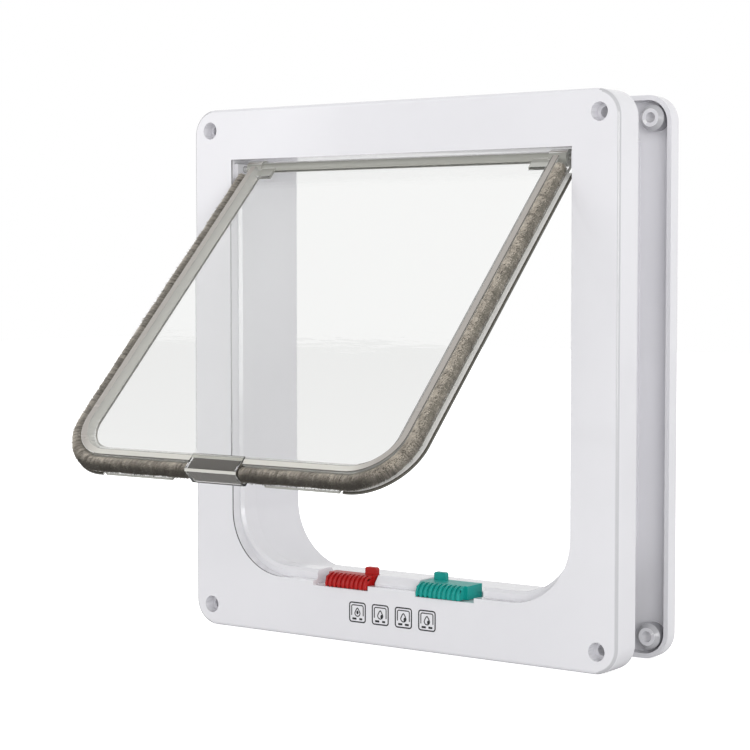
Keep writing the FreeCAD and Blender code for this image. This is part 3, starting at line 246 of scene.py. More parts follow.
class Network:
    """A node tree under construction, a material's or a group's."""

    def __init__(self, tree: bpy.types.NodeTree) -> None:
        """Start with an empty tree."""
        self.tree = tree
        tree.nodes.clear()

    def add(self, kind: str, **settings: object) -> bpy.types.Node:
        """Add a node.

        Args:
            kind: The node's type, such as ShaderNodeTexNoise.
            settings: Its properties, by name.

        Returns:
            The node.
        """
        node = self.tree.nodes.new(kind)
        for name, value in settings.items():
            setattr(node, name, value)
        return node

    def link(self, start: bpy.types.NodeSocket, end: bpy.types.NodeSocket) -> None:
        """Join an output to an input."""
        self.tree.links.new(start, end)

    def noise(self, place: bpy.types.NodeSocket, scale: float, detail: float = 2.0) -> bpy.types.Node:
        """Add a noise texture.

        Args:
            place: Coordinates that it reads.
            scale: Features to the metre.
            detail: Octaves.

        Returns:
            The node.
        """
        texture = self.add("ShaderNodeTexNoise")
        texture.inputs["Scale"].default_value = scale
        texture.inputs["Detail"].default_value = detail
        self.link(place, texture.inputs["Vector"])
        return texture

    def spread(self, value: bpy.types.NodeSocket, low: float, high: float, start: float = 0.0,
               end: float = 1.0) -> bpy.types.NodeSocket:
        """Map a value from the range start to end on to the range low to high.

        Args:
            value: The value to map.
            low: What start becomes.
            high: What end becomes.
            start: Lower end of the value's range.
            end: Upper end of the value's range.

        Returns:
            The mapped value.
        """
        mapping = self.add("ShaderNodeMapRange")
        for name, number in (("From Min", start), ("From Max", end), ("To Min", low), ("To Max", high)):
            mapping.inputs[name].default_value = number
        self.link(value, mapping.inputs["Value"])
        return mapping.outputs["Result"]

    def blend(self, factor: bpy.types.NodeSocket, first: bpy.types.NodeSocket,
              second: bpy.types.NodeSocket) -> bpy.types.NodeSocket:
        """Mix two colours by a factor."""
        mix = self.add("ShaderNodeMix", data_type="RGBA")
        self.link(factor, mix.inputs["Factor"])
        self.link(first, mix.inputs["A"])
        self.link(second, mix.inputs["B"])
        return mix.outputs["Result"]

    def maths(self, operation: str, first: bpy.types.NodeSocket,
              second: bpy.types.NodeSocket | float) -> bpy.types.NodeSocket:
        """Join two values, the second of which may be a plain number, by a Math node."""
        node = self.add("ShaderNodeMath", operation=operation)
        self.link(first, node.inputs[0])
        if isinstance(second, float):
            node.inputs[1].default_value = second
        else:
            self.link(second, node.inputs[1])
        return node.outputs[0]


class Effects:
    """The node groups that several finishes share, each built once."""

    def __init__(self) -> None:
        """Build the groups."""
        self.moulding = self.build_moulding()
        self.handling = self.build_handling()
        self.fibres = self.build_fibres()

    @staticmethod
    def start(name: str, inputs: dict[str, tuple[str, object]],
              outputs: dict[str, str]) -> tuple[bpy.types.NodeTree, Network, bpy.types.Node, bpy.types.Node]:
        """Start a group.

        Args:
            name: Its name.
            inputs: Socket type and default value of each input, by name.
            outputs: Socket type of each output, by name.

        Returns:
            The group, its network, and its input and output nodes.
        """
        group = bpy.data.node_groups.new(name, "ShaderNodeTree")
        for label, (kind, default) in inputs.items():
            group.interface.new_socket(name=label, in_out="INPUT", socket_type=kind).default_value = default
        for label, kind in outputs.items():
            group.interface.new_socket(name=label, in_out="OUTPUT", socket_type=kind)
        net = Network(group)
        return group, net, net.add("NodeGroupInput"), net.add("NodeGroupOutput")

    def build_moulding(self) -> bpy.types.NodeTree:
        """Build the skin of moulded plastic: flow clouds in its colour, waves and fine grain in its height.

        Returns:
            The group.
        """
        group, net, given, out = self.start(
            "moulded_skin",
            {"Colour": ("NodeSocketColor", (0.8, 0.8, 0.8, 1.0)),
             "Cloud Colour": ("NodeSocketColor", (0.7, 0.7, 0.7, 1.0)),
             "Roughness": ("NodeSocketFloat", 0.2),
             "Roughness Swing": ("NodeSocketFloat", 0.05)},
            {"Colour": "NodeSocketColor", "Roughness": "NodeSocketFloat", "Height": "NodeSocketFloat"})
        place = net.add("ShaderNodeTexCoord").outputs["Object"]
        clouds = net.noise(place, 18.0, 3.0).outputs["Fac"]
        shade = net.spread(clouds, 0.0, 1.0, 0.35, 0.75)
        net.link(net.blend(shade, given.outputs["Colour"], given.outputs["Cloud Colour"]),
                 out.inputs["Colour"])
        patches = net.noise(place, 55.0, 2.0).outputs["Fac"]
        swing = net.maths("MULTIPLY", net.spread(patches, -1.0, 1.0), given.outputs["Roughness Swing"])
        net.link(net.maths("ADD", given.outputs["Roughness"], swing), out.inputs["Roughness"])
        waves = net.noise(place, 60.0, 1.0).outputs["Fac"]
        grain = net.maths("MULTIPLY", net.noise(place, 2600.0, 1.0).outputs["Fac"], 0.04)
        net.link(net.maths("ADD", waves, grain), out.inputs["Height"])
        return group

    def build_handling(self) -> bpy.types.NodeTree:
        """Build the faint marks of handling and polishing on clear plastic and metal.

        Returns:
            The group.
        """
        group, net, given, out = self.start(
            "handling_marks",
            {"Roughness": ("NodeSocketFloat", 0.03), "Marked Roughness": ("NodeSocketFloat", 0.1)},
            {"Roughness": "NodeSocketFloat", "Height": "NodeSocketFloat"})
        place = net.add("ShaderNodeTexCoord").outputs["Object"]
        streak = net.add("ShaderNodeMapping")
        streak.inputs["Scale"].default_value = (1.0, 6.0, 6.0)
        net.link(place, streak.inputs["Vector"])
        smears = net.noise(streak.outputs["Vector"], 30.0, 4.0).outputs["Fac"]
        mask = net.spread(smears, 0.0, 1.0, 0.55, 0.8)
        change = net.maths("MULTIPLY", mask, given.outputs["Marked Roughness"])
        net.link(net.maths("ADD", given.outputs["Roughness"], change), out.inputs["Roughness"])
        net.link(smears, out.inputs["Height"])
        return group

    def build_fibres(self) -> bpy.types.NodeTree:
        """Build the colours of pile: dark at the root, pale at the tip, in soft clumps; a further input
        pulls them towards the root colour, for painted shade and random tone.

        Returns:
            The group.
        """
        group, net, given, out = self.start(
            "pile_shades",
            {"Root": ("NodeSocketColor", (0.05, 0.045, 0.03, 1.0)),
             "Tip": ("NodeSocketColor", (0.3, 0.28, 0.22, 1.0)),
             "Clump": ("NodeSocketColor", (0.2, 0.19, 0.15, 1.0)),
             "Along": ("NodeSocketFloat", 1.0),
             "Shade_And_Tone": ("NodeSocketFloat", 1.0)},
            {"Colour": "NodeSocketColor"})
        place = net.add("ShaderNodeTexCoord").outputs["Object"]
        patches = net.spread(net.noise(place, 240.0, 3.0).outputs["Fac"], 0.0, 1.0, 0.38, 0.62)
        tips = net.blend(patches, given.outputs["Tip"], given.outputs["Clump"])
        reach = net.maths("MULTIPLY", given.outputs["Along"], given.outputs["Shade_And_Tone"])
        net.link(net.blend(reach, given.outputs["Root"], tips), out.inputs["Colour"])
        return group


@dataclass(frozen=True)
class Finish:
    """What all finishes share: a name and the effects that they read."""

    name: str

    def start(self) -> tuple[bpy.types.Material, Network, bpy.types.Node, bpy.types.Node]:
        """Start a material.

        Returns:
            The material, its network, its Principled shader and its output.
        """
        material = bpy.data.materials.new(self.name)
        material.use_nodes = True
        net = Network(material.node_tree)
        shader = net.add("ShaderNodeBsdfPrincipled")
        out = net.add("ShaderNodeOutputMaterial")
        net.link(shader.outputs["BSDF"], out.inputs["Surface"])
        return material, net, shader, out

    @staticmethod
    def bump(net: Network, height: bpy.types.NodeSocket, shader: bpy.types.Node, depth: float,
             strength: float = 1.0) -> None:
        """Raise a shader's surface by a height.

        Args:
            net: The material's network.
            height: The height, about 0 to 1.
            shader: The shader.
            depth: What a height of 1 stands for, in metres.
            strength: Share of the effect.
        """
        node = net.add("ShaderNodeBump")
        node.inputs["Distance"].default_value = depth
        node.inputs["Strength"].default_value = strength
        net.link(height, node.inputs["Height"])
        net.link(node.outputs["Normal"], shader.inputs["Normal"])


@dataclass(frozen=True)
class MouldedPlastic(Finish):
    """Glossy moulded plastic."""

    colour: Colour
    cloud_colour: Colour
    roughness: float = 0.16
    swing: float = 0.04
    coat: float = 0.25
    shine: float = 0.5
    depth: float = 0.00002

    def build(self, effects: Effects) -> bpy.types.Material:
        """Build the material."""
        material, net, shader, _ = self.start()
        skin = net.add("ShaderNodeGroup", node_tree=effects.moulding)
        skin.inputs["Colour"].default_value = (*self.colour, 1.0)
        skin.inputs["Cloud Colour"].default_value = (*self.cloud_colour, 1.0)
        skin.inputs["Roughness"].default_value = self.roughness
        skin.inputs["Roughness Swing"].default_value = self.swing
        net.link(skin.outputs["Colour"], shader.inputs["Base Color"])
        net.link(skin.outputs["Roughness"], shader.inputs["Roughness"])
        shader.inputs["IOR"].default_value = 1.5
        shader.inputs["Specular IOR Level"].default_value = self.shine
        shader.inputs["Coat Weight"].default_value = self.coat
        shader.inputs["Coat Roughness"].default_value = 0.05
        self.bump(net, skin.outputs["Height"], shader, self.depth)
        return material


@dataclass(frozen=True)
class ClearPlastic(Finish):
    """Clear polished plastic, which lets the lamps' light through without a hard shadow."""

    colour: Colour
    clarity: float = 1.0
    roughness: float = 0.02
    marked: float = 0.05
    upright: Colour | None = None
    upright_from: float = 66.0 * MM
    upright_to: float = 78.0 * MM
    shadow: Colour = (0.86, 0.87, 0.86)

    def build(self, effects: Effects) -> bpy.types.Material:
        """Build the material."""
        material, net, shader, out = self.start()
        marks = net.add("ShaderNodeGroup", node_tree=effects.handling)
        marks.inputs["Roughness"].default_value = self.roughness
        marks.inputs["Marked Roughness"].default_value = self.marked
        net.link(marks.outputs["Roughness"], shader.inputs["Roughness"])
        shader.inputs["Base Color"].default_value = (*self.colour, 1.0)
        if self.upright:
            place = net.add("ShaderNodeSeparateXYZ")
            net.link(net.add("ShaderNodeTexCoord").outputs["Object"], place.inputs["Vector"])
            middle_to_side = net.maths("ABSOLUTE", place.outputs["X"], 0.0)
            across = net.spread(middle_to_side, 0.0, 1.0, self.upright_from, self.upright_to)
            low, high = net.add("ShaderNodeRGB"), net.add("ShaderNodeRGB")
            low.outputs[0].default_value = (*self.colour, 1.0)
            high.outputs[0].default_value = (*self.upright, 1.0)
            net.link(net.blend(across, low.outputs[0], high.outputs[0]), shader.inputs["Base Color"])
        shader.inputs["IOR"].default_value = 1.49
        shader.inputs["Transmission Weight"].default_value = self.clarity
        self.bump(net, marks.outputs["Height"], shader, 0.00003)
        passing = net.add("ShaderNodeBsdfTransparent")
        passing.inputs["Color"].default_value = (*self.shadow, 1.0)
        rays = net.add("ShaderNodeLightPath")
        chosen = net.add("ShaderNodeMixShader")
        net.link(rays.outputs["Is Shadow Ray"], chosen.inputs["Fac"])
        net.link(shader.outputs["BSDF"], chosen.inputs[1])
        net.link(passing.outputs["BSDF"], chosen.inputs[2])
        net.link(chosen.outputs["Shader"], out.inputs["Surface"])
        return material


@dataclass(frozen=True)
class PileFibre(Finish):
    """Soft synthetic pile, matt, with a sheen along the fibres."""

    root: Colour
    tip: Colour
    clump: Colour
    of_fibres: bool = False

    def build(self, effects: Effects) -> bpy.types.Material:
        """Build the material. Fibres carry the attributes along, from root to tip, and a lightness of
        painted shade and random clump tone.
        """
        material, net, shader, _ = self.start()
        shades = net.add("ShaderNodeGroup", node_tree=effects.fibres)
        for socket, colour in (("Root", self.root), ("Tip", self.tip), ("Clump", self.clump)):
            shades.inputs[socket].default_value = (*colour, 1.0)
        if self.of_fibres:
            for name in ("along", "shade_and_tone"):
                value = net.add("ShaderNodeAttribute", attribute_name=name)
                net.link(value.outputs["Fac"], shades.inputs[name.title()])
        net.link(shades.outputs["Colour"], shader.inputs["Base Color"])
        shader.inputs["Roughness"].default_value = 0.75
        shader.inputs["Sheen Weight"].default_value = 0.35
        shader.inputs["Sheen Roughness"].default_value = 0.4
        if not self.of_fibres:
            place = net.add("ShaderNodeTexCoord").outputs["Object"]
            self.bump(net, net.noise(place, 1500.0, 2.0).outputs["Fac"], shader, 0.0004)
        return material


@dataclass(frozen=True)
class DrawnSteel(Finish):
    """Bright drawn steel rod, with fine marks along its length."""

    colour: Colour = (0.78, 0.78, 0.77)
    roughness: float = 0.18

    def build(self, effects: Effects) -> bpy.types.Material:
        """Build the material."""
        material, net, shader, _ = self.start()
        marks = net.add("ShaderNodeGroup", node_tree=effects.handling)
        marks.inputs["Roughness"].default_value = self.roughness
        marks.inputs["Marked Roughness"].default_value = 0.2
        net.link(marks.outputs["Roughness"], shader.inputs["Roughness"])
        shader.inputs["Base Color"].default_value = (*self.colour, 1.0)
        shader.inputs["Metallic"].default_value = 1.0
        self.bump(net, marks.outputs["Height"], shader, 0.00001)
        return material


@dataclass(frozen=True)
class Ferrite(Finish):
    """Sintered dark grey magnet."""

    colour: Colour = (0.11, 0.096, 0.085)

    def build(self, effects: Effects) -> bpy.types.Material:
        """Build the material."""
        material, net, shader, _ = self.start()
        skin = net.add("ShaderNodeGroup", node_tree=effects.moulding)
        skin.inputs["Colour"].default_value = (*self.colour, 1.0)
        skin.inputs["Cloud Colour"].default_value = (*(channel * 0.45 for channel in self.colour), 1.0)
        skin.inputs["Roughness"].default_value = 0.45
        skin.inputs["Roughness Swing"].default_value = 0.1
        net.link(skin.outputs["Colour"], shader.inputs["Base Color"])
        net.link(skin.outputs["Roughness"], shader.inputs["Roughness"])
        self.bump(net, skin.outputs["Height"], shader, 0.0001)
        return material


@dataclass(frozen=True)
class PrintInk(Finish):
    """Pad-printed ink, thinner in places."""

    colour: Colour = (0.012, 0.012, 0.014)

    def build(self, effects: Effects) -> bpy.types.Material:
        """Build the material."""
        material, net, shader, _ = self.start()
        skin = net.add("ShaderNodeGroup", node_tree=effects.moulding)
        skin.inputs["Colour"].default_value = (*self.colour, 1.0)
        skin.inputs["Cloud Colour"].default_value = (0.03, 0.03, 0.033, 1.0)
        skin.inputs["Roughness"].default_value = 0.5
        net.link(skin.outputs["Colour"], shader.inputs["Base Color"])
        net.link(skin.outputs["Roughness"], shader.inputs["Roughness"])
        return material


@dataclass(frozen=True)
class PaintedSeamShade(Finish):
    """Painted shade in the narrow gap round the opening and on the hinge bushes' upper and lower faces,
    deeper towards the opening's lower and upper ends.
    """

    pale: Colour = (0.40, 0.40, 0.41)
    deep: Colour = (0.10, 0.10, 0.105)

    def build(self, effects: Effects) -> bpy.types.Material:
        """Build the material."""
        material, net, shader, _ = self.start()
        place = net.add("ShaderNodeSeparateXYZ")
        net.link(net.add("ShaderNodeTexCoord").outputs["Object"], place.inputs["Vector"])
        low = net.spread(place.outputs["Z"], 1.0, 0.0, -0.045, 0.0)
        high = net.spread(place.outputs["Z"], 0.0, 1.0, 0.085, 0.1)
        skin = net.add("ShaderNodeGroup", node_tree=effects.moulding)
        skin.inputs["Roughness"].default_value = 0.6
        pale, deep = net.add("ShaderNodeRGB"), net.add("ShaderNodeRGB")
        pale.outputs[0].default_value = (*self.pale, 1.0)
        deep.outputs[0].default_value = (*self.deep, 1.0)
        depth = net.maths("MAXIMUM", low, high)
        net.link(net.blend(depth, pale.outputs[0], deep.outputs[0]), shader.inputs["Base Color"])
        net.link(skin.outputs["Roughness"], shader.inputs["Roughness"])
        shader.inputs["Specular IOR Level"].default_value = 0.2
        return material


@dataclass
class Finishes:
    """Every material of the flap."""

    effects: Effects
    white: bpy.types.Material = field(init=False)
    clear: bpy.types.Material = field(init=False)
    thick_clear: bpy.types.Material = field(init=False)
    underside_painted_shade: bpy.types.Material = field(init=False)
    boss_painted_highlight: bpy.types.Material = field(init=False)
    boss_chamfer_painted_shade: bpy.types.Material = field(init=False)
    boss_wall_painted_shade: bpy.types.Material = field(init=False)
    outer_edge_painted_shade: bpy.types.Material = field(init=False)
    outer_edge_half_painted_shade: bpy.types.Material = field(init=False)
    misty: bpy.types.Material = field(init=False)
    milky: bpy.types.Material = field(init=False)
    olive: bpy.types.Material = field(init=False)
    foot_painted_shade: bpy.types.Material = field(init=False)
    painted_edge_shade: bpy.types.Material = field(init=False)
    painted_highlight: bpy.types.Material = field(init=False)
    seam: bpy.types.Material = field(init=False)
    pile_bed: bpy.types.Material = field(init=False)
    pile: bpy.types.Material = field(init=False)
    backing: bpy.types.Material = field(init=False)
    steel: bpy.types.Material = field(init=False)
    magnet: bpy.types.Material = field(init=False)
    red: bpy.types.Material = field(init=False)
    green: bpy.types.Material = field(init=False)
    ink: bpy.types.Material = field(init=False)

    def __post_init__(self) -> None:
        """Build the materials."""
        made = {
            "white": MouldedPlastic("white_plastic", (0.80, 0.795, 0.825), (0.775, 0.77, 0.80)),
            "clear": ClearPlastic("clear_plastic", (0.95, 0.955, 0.945)),
            "thick_clear": ClearPlastic("thick_clear_plastic", (0.86, 0.86, 0.84)),
            # Painted shade for the magnet holder's downward faces.
            "underside_painted_shade": ClearPlastic("underside_painted_shade_plastic", (0.62, 0.60, 0.575)),
            # Painted light for the rear frame's bosses: a highlight on the front rings, shade on the
            # chamfers and walls.
            "boss_painted_highlight": MouldedPlastic("boss_painted_highlight_plastic", (0.97, 0.97, 0.98), (0.95, 0.95, 0.96)),
            "boss_chamfer_painted_shade": MouldedPlastic("boss_chamfer_painted_shade_plastic", (0.50, 0.50, 0.52), (0.47, 0.47, 0.49)),
            # Painted shade: darker whites for the front frame's rounded outer edges, the darker one for the
            # middle of the turn.
            "outer_edge_painted_shade": MouldedPlastic("outer_edge_painted_shade_plastic", (0.55, 0.55, 0.57), (0.53, 0.53, 0.55)),
            "outer_edge_half_painted_shade": MouldedPlastic("outer_edge_half_painted_shade_plastic", (0.67, 0.67, 0.69), (0.65, 0.65, 0.67)),
            "boss_wall_painted_shade": MouldedPlastic("boss_wall_painted_shade_plastic", (0.34, 0.34, 0.36), (0.32, 0.32, 0.34)),
            "misty": ClearPlastic("misty_plastic", (0.84, 0.84, 0.81), 0.70, 0.16, 0.1),
            "milky": ClearPlastic("milky_plastic", (0.70, 0.685, 0.635), 0.12, 0.22, 0.1,
                                  (0.47, 0.44, 0.41)),
            "olive": ClearPlastic("olive_plastic", (0.47, 0.47, 0.43), 0.30, 0.18, 0.1),
            # Milder painted shade for the foot of the left upright's slope.
            "foot_painted_shade": ClearPlastic("foot_painted_shade_plastic", (0.58, 0.56, 0.50), 0.5, 0.18, 0.1),
            # Painted shade: dark lines on the edges of the clear parts.
            "painted_edge_shade": ClearPlastic("painted_edge_shade_plastic", (0.10, 0.094, 0.078), 0.2, 0.2, 0.1),
            # Painted highlight for edges, rims and the bar's upward faces.
            "painted_highlight": ClearPlastic("painted_highlight_plastic", (0.97, 0.96, 0.94), 0.05, 0.12, 0.1),
            "seam": PaintedSeamShade("painted_seam_shade"),
            "pile_bed": PileFibre("pile_bed", (0.05, 0.045, 0.03), (0.20, 0.18, 0.145), (0.12, 0.11, 0.085)),
            "pile": PileFibre("pile_fibres", (0.035, 0.030, 0.022), (0.68, 0.62, 0.535),
                              (0.50, 0.45, 0.385), True),
            "backing": PileFibre("pile_backing", (0.30, 0.285, 0.235), (0.42, 0.405, 0.345),
                                 (0.38, 0.365, 0.31)),
            "steel": DrawnSteel("drawn_steel"),
            "magnet": Ferrite("ferrite"),
            "red": MouldedPlastic("red_plastic", (0.47, 0.010, 0.009), (0.40, 0.009, 0.008),
                                  0.38, coat=0.0, shine=0.28),
            "green": MouldedPlastic("green_plastic", (0.006, 0.335, 0.295), (0.005, 0.295, 0.26),
                                    0.38, coat=0.0, shine=0.28),
            "ink": PrintInk("print_ink"),
        }
        for name, finish in made.items():
            setattr(self, name, finish.build(self.effects))


# Studio


@dataclass
class Studio:
    """Camera, lamps, floor and background."""

    camera_place: Point = (0.538, -0.773, 0.049)
    camera_yaw: float = 35.86
    camera_pitch: float = -3.0
    lens: float = 98.06
    floor_size: float = 6.0
    fill: float = 0.84
    overhead: float = 0.82
    mirrored_room: float = 0.6
    floor_shade: float = 0.86
    floor_glow: tuple[float, float] = (0.8, 0.27)

    def build(self) -> None:
        """Set up the whole studio."""
        self.build_camera()
        self.build_world()
        self.build_floor()
        self.build_lamps()
        bpy.context.scene.view_settings.view_transform = "Standard"

    def build_camera(self) -> None:
        """Set the camera at the photograph's viewpoint."""
        camera = bpy.data.objects.new("camera", bpy.data.cameras.new("camera"))
        bpy.context.scene.collection.objects.link(camera)
        camera.location = self.camera_place
        camera.rotation_euler = (math.radians(90.0 + self.camera_pitch), 0.0, math.radians(self.camera_yaw))
        camera.data.lens = self.lens
        camera.data.sensor_width = 36.0
        camera.data.clip_start = 0.01
        camera.data.clip_end = 50.0
        bpy.context.scene.camera = camera

    def build_world(self) -> None:
        """Make a background that is white to look at, and a soft light that is weaker from overhead."""
        world = bpy.data.worlds.new("studio")
        world.use_nodes = True
        net = Network(world.node_tree)
        rays = net.add("ShaderNodeLightPath")
        way = net.add("ShaderNodeTexCoord").outputs["Generated"]
        place = net.add("ShaderNodeSeparateXYZ")
        net.link(way, place.inputs["Vector"])
        fill = net.spread(place.outputs["Z"], self.fill, self.fill * self.overhead, 0.25, 0.9)
        room = net.spread(place.outputs["Y"], self.mirrored_room, 1.0, -0.1, 0.25)
        mirrored = net.maths("MAXIMUM", rays.outputs["Is Glossy Ray"], rays.outputs["Is Transmission Ray"])
        softer = net.add("ShaderNodeMix", data_type="FLOAT")
        net.link(mirrored, softer.inputs["Factor"])
        net.link(fill, softer.inputs["A"])
        net.link(room, softer.inputs["B"])
        seen = net.add("ShaderNodeMix", data_type="FLOAT")
        seen.inputs["B"].default_value = 1.0
        net.link(rays.outputs["Is Camera Ray"], seen.inputs["Factor"])
        net.link(softer.outputs["Result"], seen.inputs["A"])
        sky = net.add("ShaderNodeBackground")
        sky.inputs["Color"].default_value = (1.0, 1.0, 1.0, 1.0)
        net.link(seen.outputs["Result"], sky.inputs["Strength"])
        out = net.add("ShaderNodeOutputWorld")
        net.link(sky.outputs["Background"], out.inputs["Surface"])
        bpy.context.scene.world = world

    def build_floor(self) -> None:
        """Lay a pale floor that is white to the camera but for the flap's soft shadow."""
        low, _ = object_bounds()
        bpy.ops.mesh.primitive_plane_add(size=self.floor_size, location=(0.0, 0.0, low.z))
        floor = Bench.added("floor")
        material = bpy.data.materials.new("floor")
        material.use_nodes = True
        net = Network(material.node_tree)
        matt = net.add("ShaderNodeBsdfDiffuse")
        matt.inputs["Color"].default_value = (self.floor_shade, self.floor_shade, self.floor_shade, 1.0)
        glow = net.add("ShaderNodeEmission")
        glow.inputs["Color"].default_value = (1.0, 1.0, 1.0, 1.0)
        rays = net.add("ShaderNodeLightPath")
        seen = net.maths("ADD", net.spread(rays.outputs["Is Camera Ray"], 0.0, self.floor_glow[0]),
                         net.spread(rays.outputs["Is Transmission Ray"], 0.0, self.floor_glow[1]))
        net.link(seen, glow.inputs["Strength"])
        both = net.add("ShaderNodeAddShader")
        net.link(matt.outputs["BSDF"], both.inputs[0])
        net.link(glow.outputs["Emission"], both.inputs[1])
        out = net.add("ShaderNodeOutputMaterial")
        net.link(both.outputs["Shader"], out.inputs["Surface"])
        floor.data.materials.append(material)
        floor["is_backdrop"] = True

    def build_lamps(self) -> None:
        """Hang the soft boxes: one left of the front and one right of it."""
        self.lamp("key", (-1.25, -0.95, 0.50), (0.9, 0.9), 4.0)
        self.lamp("side", (1.25, -1.05, 0.0), (0.8, 1.0), 13.5)

    def lamp(self, name: str, place: Point, size: tuple[float, float], power: float) -> None:
        """Hang one soft box that faces the flap.

        Args:
            name: Its name.
            place: Its centre.
            size: Its width and height, in metres.
            power: Its power, in watts.
        """
        lamp = bpy.data.objects.new(name, bpy.data.lights.new(name, "AREA"))
        bpy.context.scene.collection.objects.link(lamp)
        lamp.data.shape = "RECTANGLE"
        lamp.data.size, lamp.data.size_y = size
        lamp.data.energy = power
        lamp.location = place
        lamp.rotation_euler = (-Vector(place)).to_track_quat("-Z", "Y").to_euler()


# Pieces


@dataclass
class SubAssembly:
    """What every sub-assembly has: the finishes, a body to ride on and a way to hand a piece over."""

    finishes: Finishes
    body: str = ""

    def hand_over(self, piece: bpy.types.Object, material: bpy.types.Material, slot: str,
                  *nodes: str, body: str = "") -> bpy.types.Object:
        """Dress a piece, put it on its body and hide the CAD nodes that it stands for.

        Args:
            piece: The piece.
            material: Its finish.
            slot: The record's material slot; not used.
            nodes: CAD nodes that it stands for.
            body: Body to ride on, where it isn't the sub-assembly's own.

        Returns:
            The piece.
        """
        piece.data.materials.clear()
        piece.data.materials.append(material)
        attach(piece, body or self.body)
        if nodes:
            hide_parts(*nodes)
        LOG.info("%s: %d faces", piece.name, len(piece.data.polygons))
        return piece


@dataclass
class FrontFrame(SubAssembly):
    """The white front frame with its tunnel, hinge bushes, sill cover and printed signs."""

    body: str = "front"
    edge_round: float = 0.35 * MM
    opening: Contour = Contour(94.2 * MM, -97.8 * MM, 30.0 * MM)
    outer: Contour = Contour(117.5 * MM, -125.0 * MM, 12.0 * MM)
    turn_width: float = 2.4 * MM
    seam_width: float = 0.75 * MM
    sign_size: float = 9.6 * MM
    sign_corner: float = 1.5 * MM
    sign_line: float = 0.62 * MM
    sign_places: tuple[float, ...] = (-19.2 * MM, -6.2 * MM, 6.8 * MM, 19.8 * MM)
    sign_height: float = -110.4 * MM
    ink_thickness: float = 0.05 * MM

    def build(self) -> None:
        """Build every piece."""
        finish = self.finishes
        shell = Bench.moulded_copy("front_frame", "front_frame_moulding", self.edge_round)
        self.hand_over(shell, finish.white, "white_plastic", "front_frame")
        # Painted shade on the rounded edges where the front turns into the upright sides: a darker white
        # over the turn, a darker one still over its middle.
        Bench.dress(shell, finish.outer_edge_half_painted_shade, lambda face: self.on_outer_edge(face, 0.97))
        Bench.dress(shell, finish.outer_edge_painted_shade, lambda face: self.on_outer_edge(face, 0.88))
        self.paint_seam_shade(shell)
        for side in Side:
            node = f"hinge_bush_{side.name.lower()}"
            bush = Bench.moulded_copy(node, f"{node}_moulding", self.edge_round)
            self.hand_over(bush, finish.white, "white_plastic", node)
            # Painted shade on the bush's upward and downward faces, for the dark of the gaps along its upper
            # and lower edges.
            Bench.dress(bush, finish.seam, lambda face: abs(face.normal.z) > 0.4)
        cover = Bench.moulded_copy("sill_cover", "sill_cover_moulding", self.edge_round)
        self.hand_over(cover, finish.white, "white_plastic", "sill_cover")
        magnet = Bench.moulded_copy("sill_magnet", "sill_magnet_block", self.edge_round)
        self.hand_over(magnet, finish.magnet, "magnet", "sill_magnet")
        for number, across in enumerate(self.sign_places, start=1):
            self.build_sign(number, across)

    def on_outer_edge(self, face: bmesh.types.BMFace, most: float) -> bool:
        """Tell whether a face belongs to the rounding where the front turns into an upright side.

        Args:
            face: The face.
            most: Most that its normal may point to the front or to the side.

        Returns:
            True where it does.
        """
        spot, front = face.calc_center_median(), -face.normal.y
        side = math.hypot(face.normal.x, face.normal.z)
        near = self.outer.inset(spot.x, -abs(spot.z)) < self.turn_width
        return near and abs(face.normal.x) > 0.12 and 0.1 < front < most and side < most

    def paint_seam_shade(self, shell: bpy.types.Object) -> None:
        """Paint shade into the narrow gap behind the opening's front edge, down its left side to the sill.

        Args:
            shell: The front frame.
        """
        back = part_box("front_frame")[0].y + self.seam_width

        def at_seam(face: bmesh.types.BMFace) -> bool:
            spot = face.calc_center_median()
            near = abs(self.opening.inset(spot.x, spot.z)) < 0.5 * MM
            return near and spot.x < -60.0 * MM and spot.y < back and abs(face.normal.y) < 0.9

        Bench.open(shell)
        bpy.ops.mesh.bisect(plane_co=(0.0, back, 0.0), plane_no=(0.0, 1.0, 0.0))
        Bench.close()
        Bench.dress(shell, self.finishes.seam, at_seam)

    def build_sign(self, number: int, across: float) -> None:
        """Print one sign: a rounded frame, an arch in it, a pointed door outline, a mark and two bars.

        Args:
            number: 1 to 4, from the left.
            across: Place of its centre along X.
        """
        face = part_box("front_frame")[0].y
        half = self.sign_size / 2
        line = self.sign_line
        arch = self.ring(half - 2.0 * line, self.sign_corner - 0.7 * line, 0.8 * line)
        Bench.open(arch)
        bpy.ops.mesh.bisect(plane_co=(0.0, -half * 0.32, 0.0), plane_no=(0.0, -1.0, 0.0), clear_outer=True)
        Bench.close()
        parts = [
            self.ring(half, self.sign_corner, line),
            arch,
            self.door_outline(half * 0.36, -half * 0.08, line * 0.8),
            self.mark(half * 0.13, (0.0, -half * 0.04) if number == 1 else (half * 0.15, -half * 0.18)),
            self.bar(-half * 0.36, -half * 0.64, half * 0.50, line * 1.2),
            self.bar(half * 0.40, -half * 0.64, half * (0.36 if number < 3 else 0.46), line * 1.2),
        ]
        bpy.ops.object.select_all(action="DESELECT")
        for part in parts:
            part.select_set(True)
        bpy.context.view_layer.objects.active = parts[0]
        bpy.ops.object.join()
        sign = Bench.added(f"sign_{number}")
        Bench.open(sign)
        bpy.ops.mesh.normals_make_consistent(inside=False)
        bpy.ops.mesh.extrude_region_move(TRANSFORM_OT_translate={"value": (0.0, 0.0, self.ink_thickness)})
        bpy.ops.mesh.select_all(action="SELECT")
        bpy.ops.mesh.normals_make_consistent(inside=False)
        Bench.close()
        sign.data.transform(Matrix.Rotation(math.radians(90.0), 4, "X"))
        sign.data.transform(Matrix.Translation((across, face + 0.2 * self.ink_thickness, self.sign_height)))
        self.hand_over(sign, self.finishes.ink, "magnet")

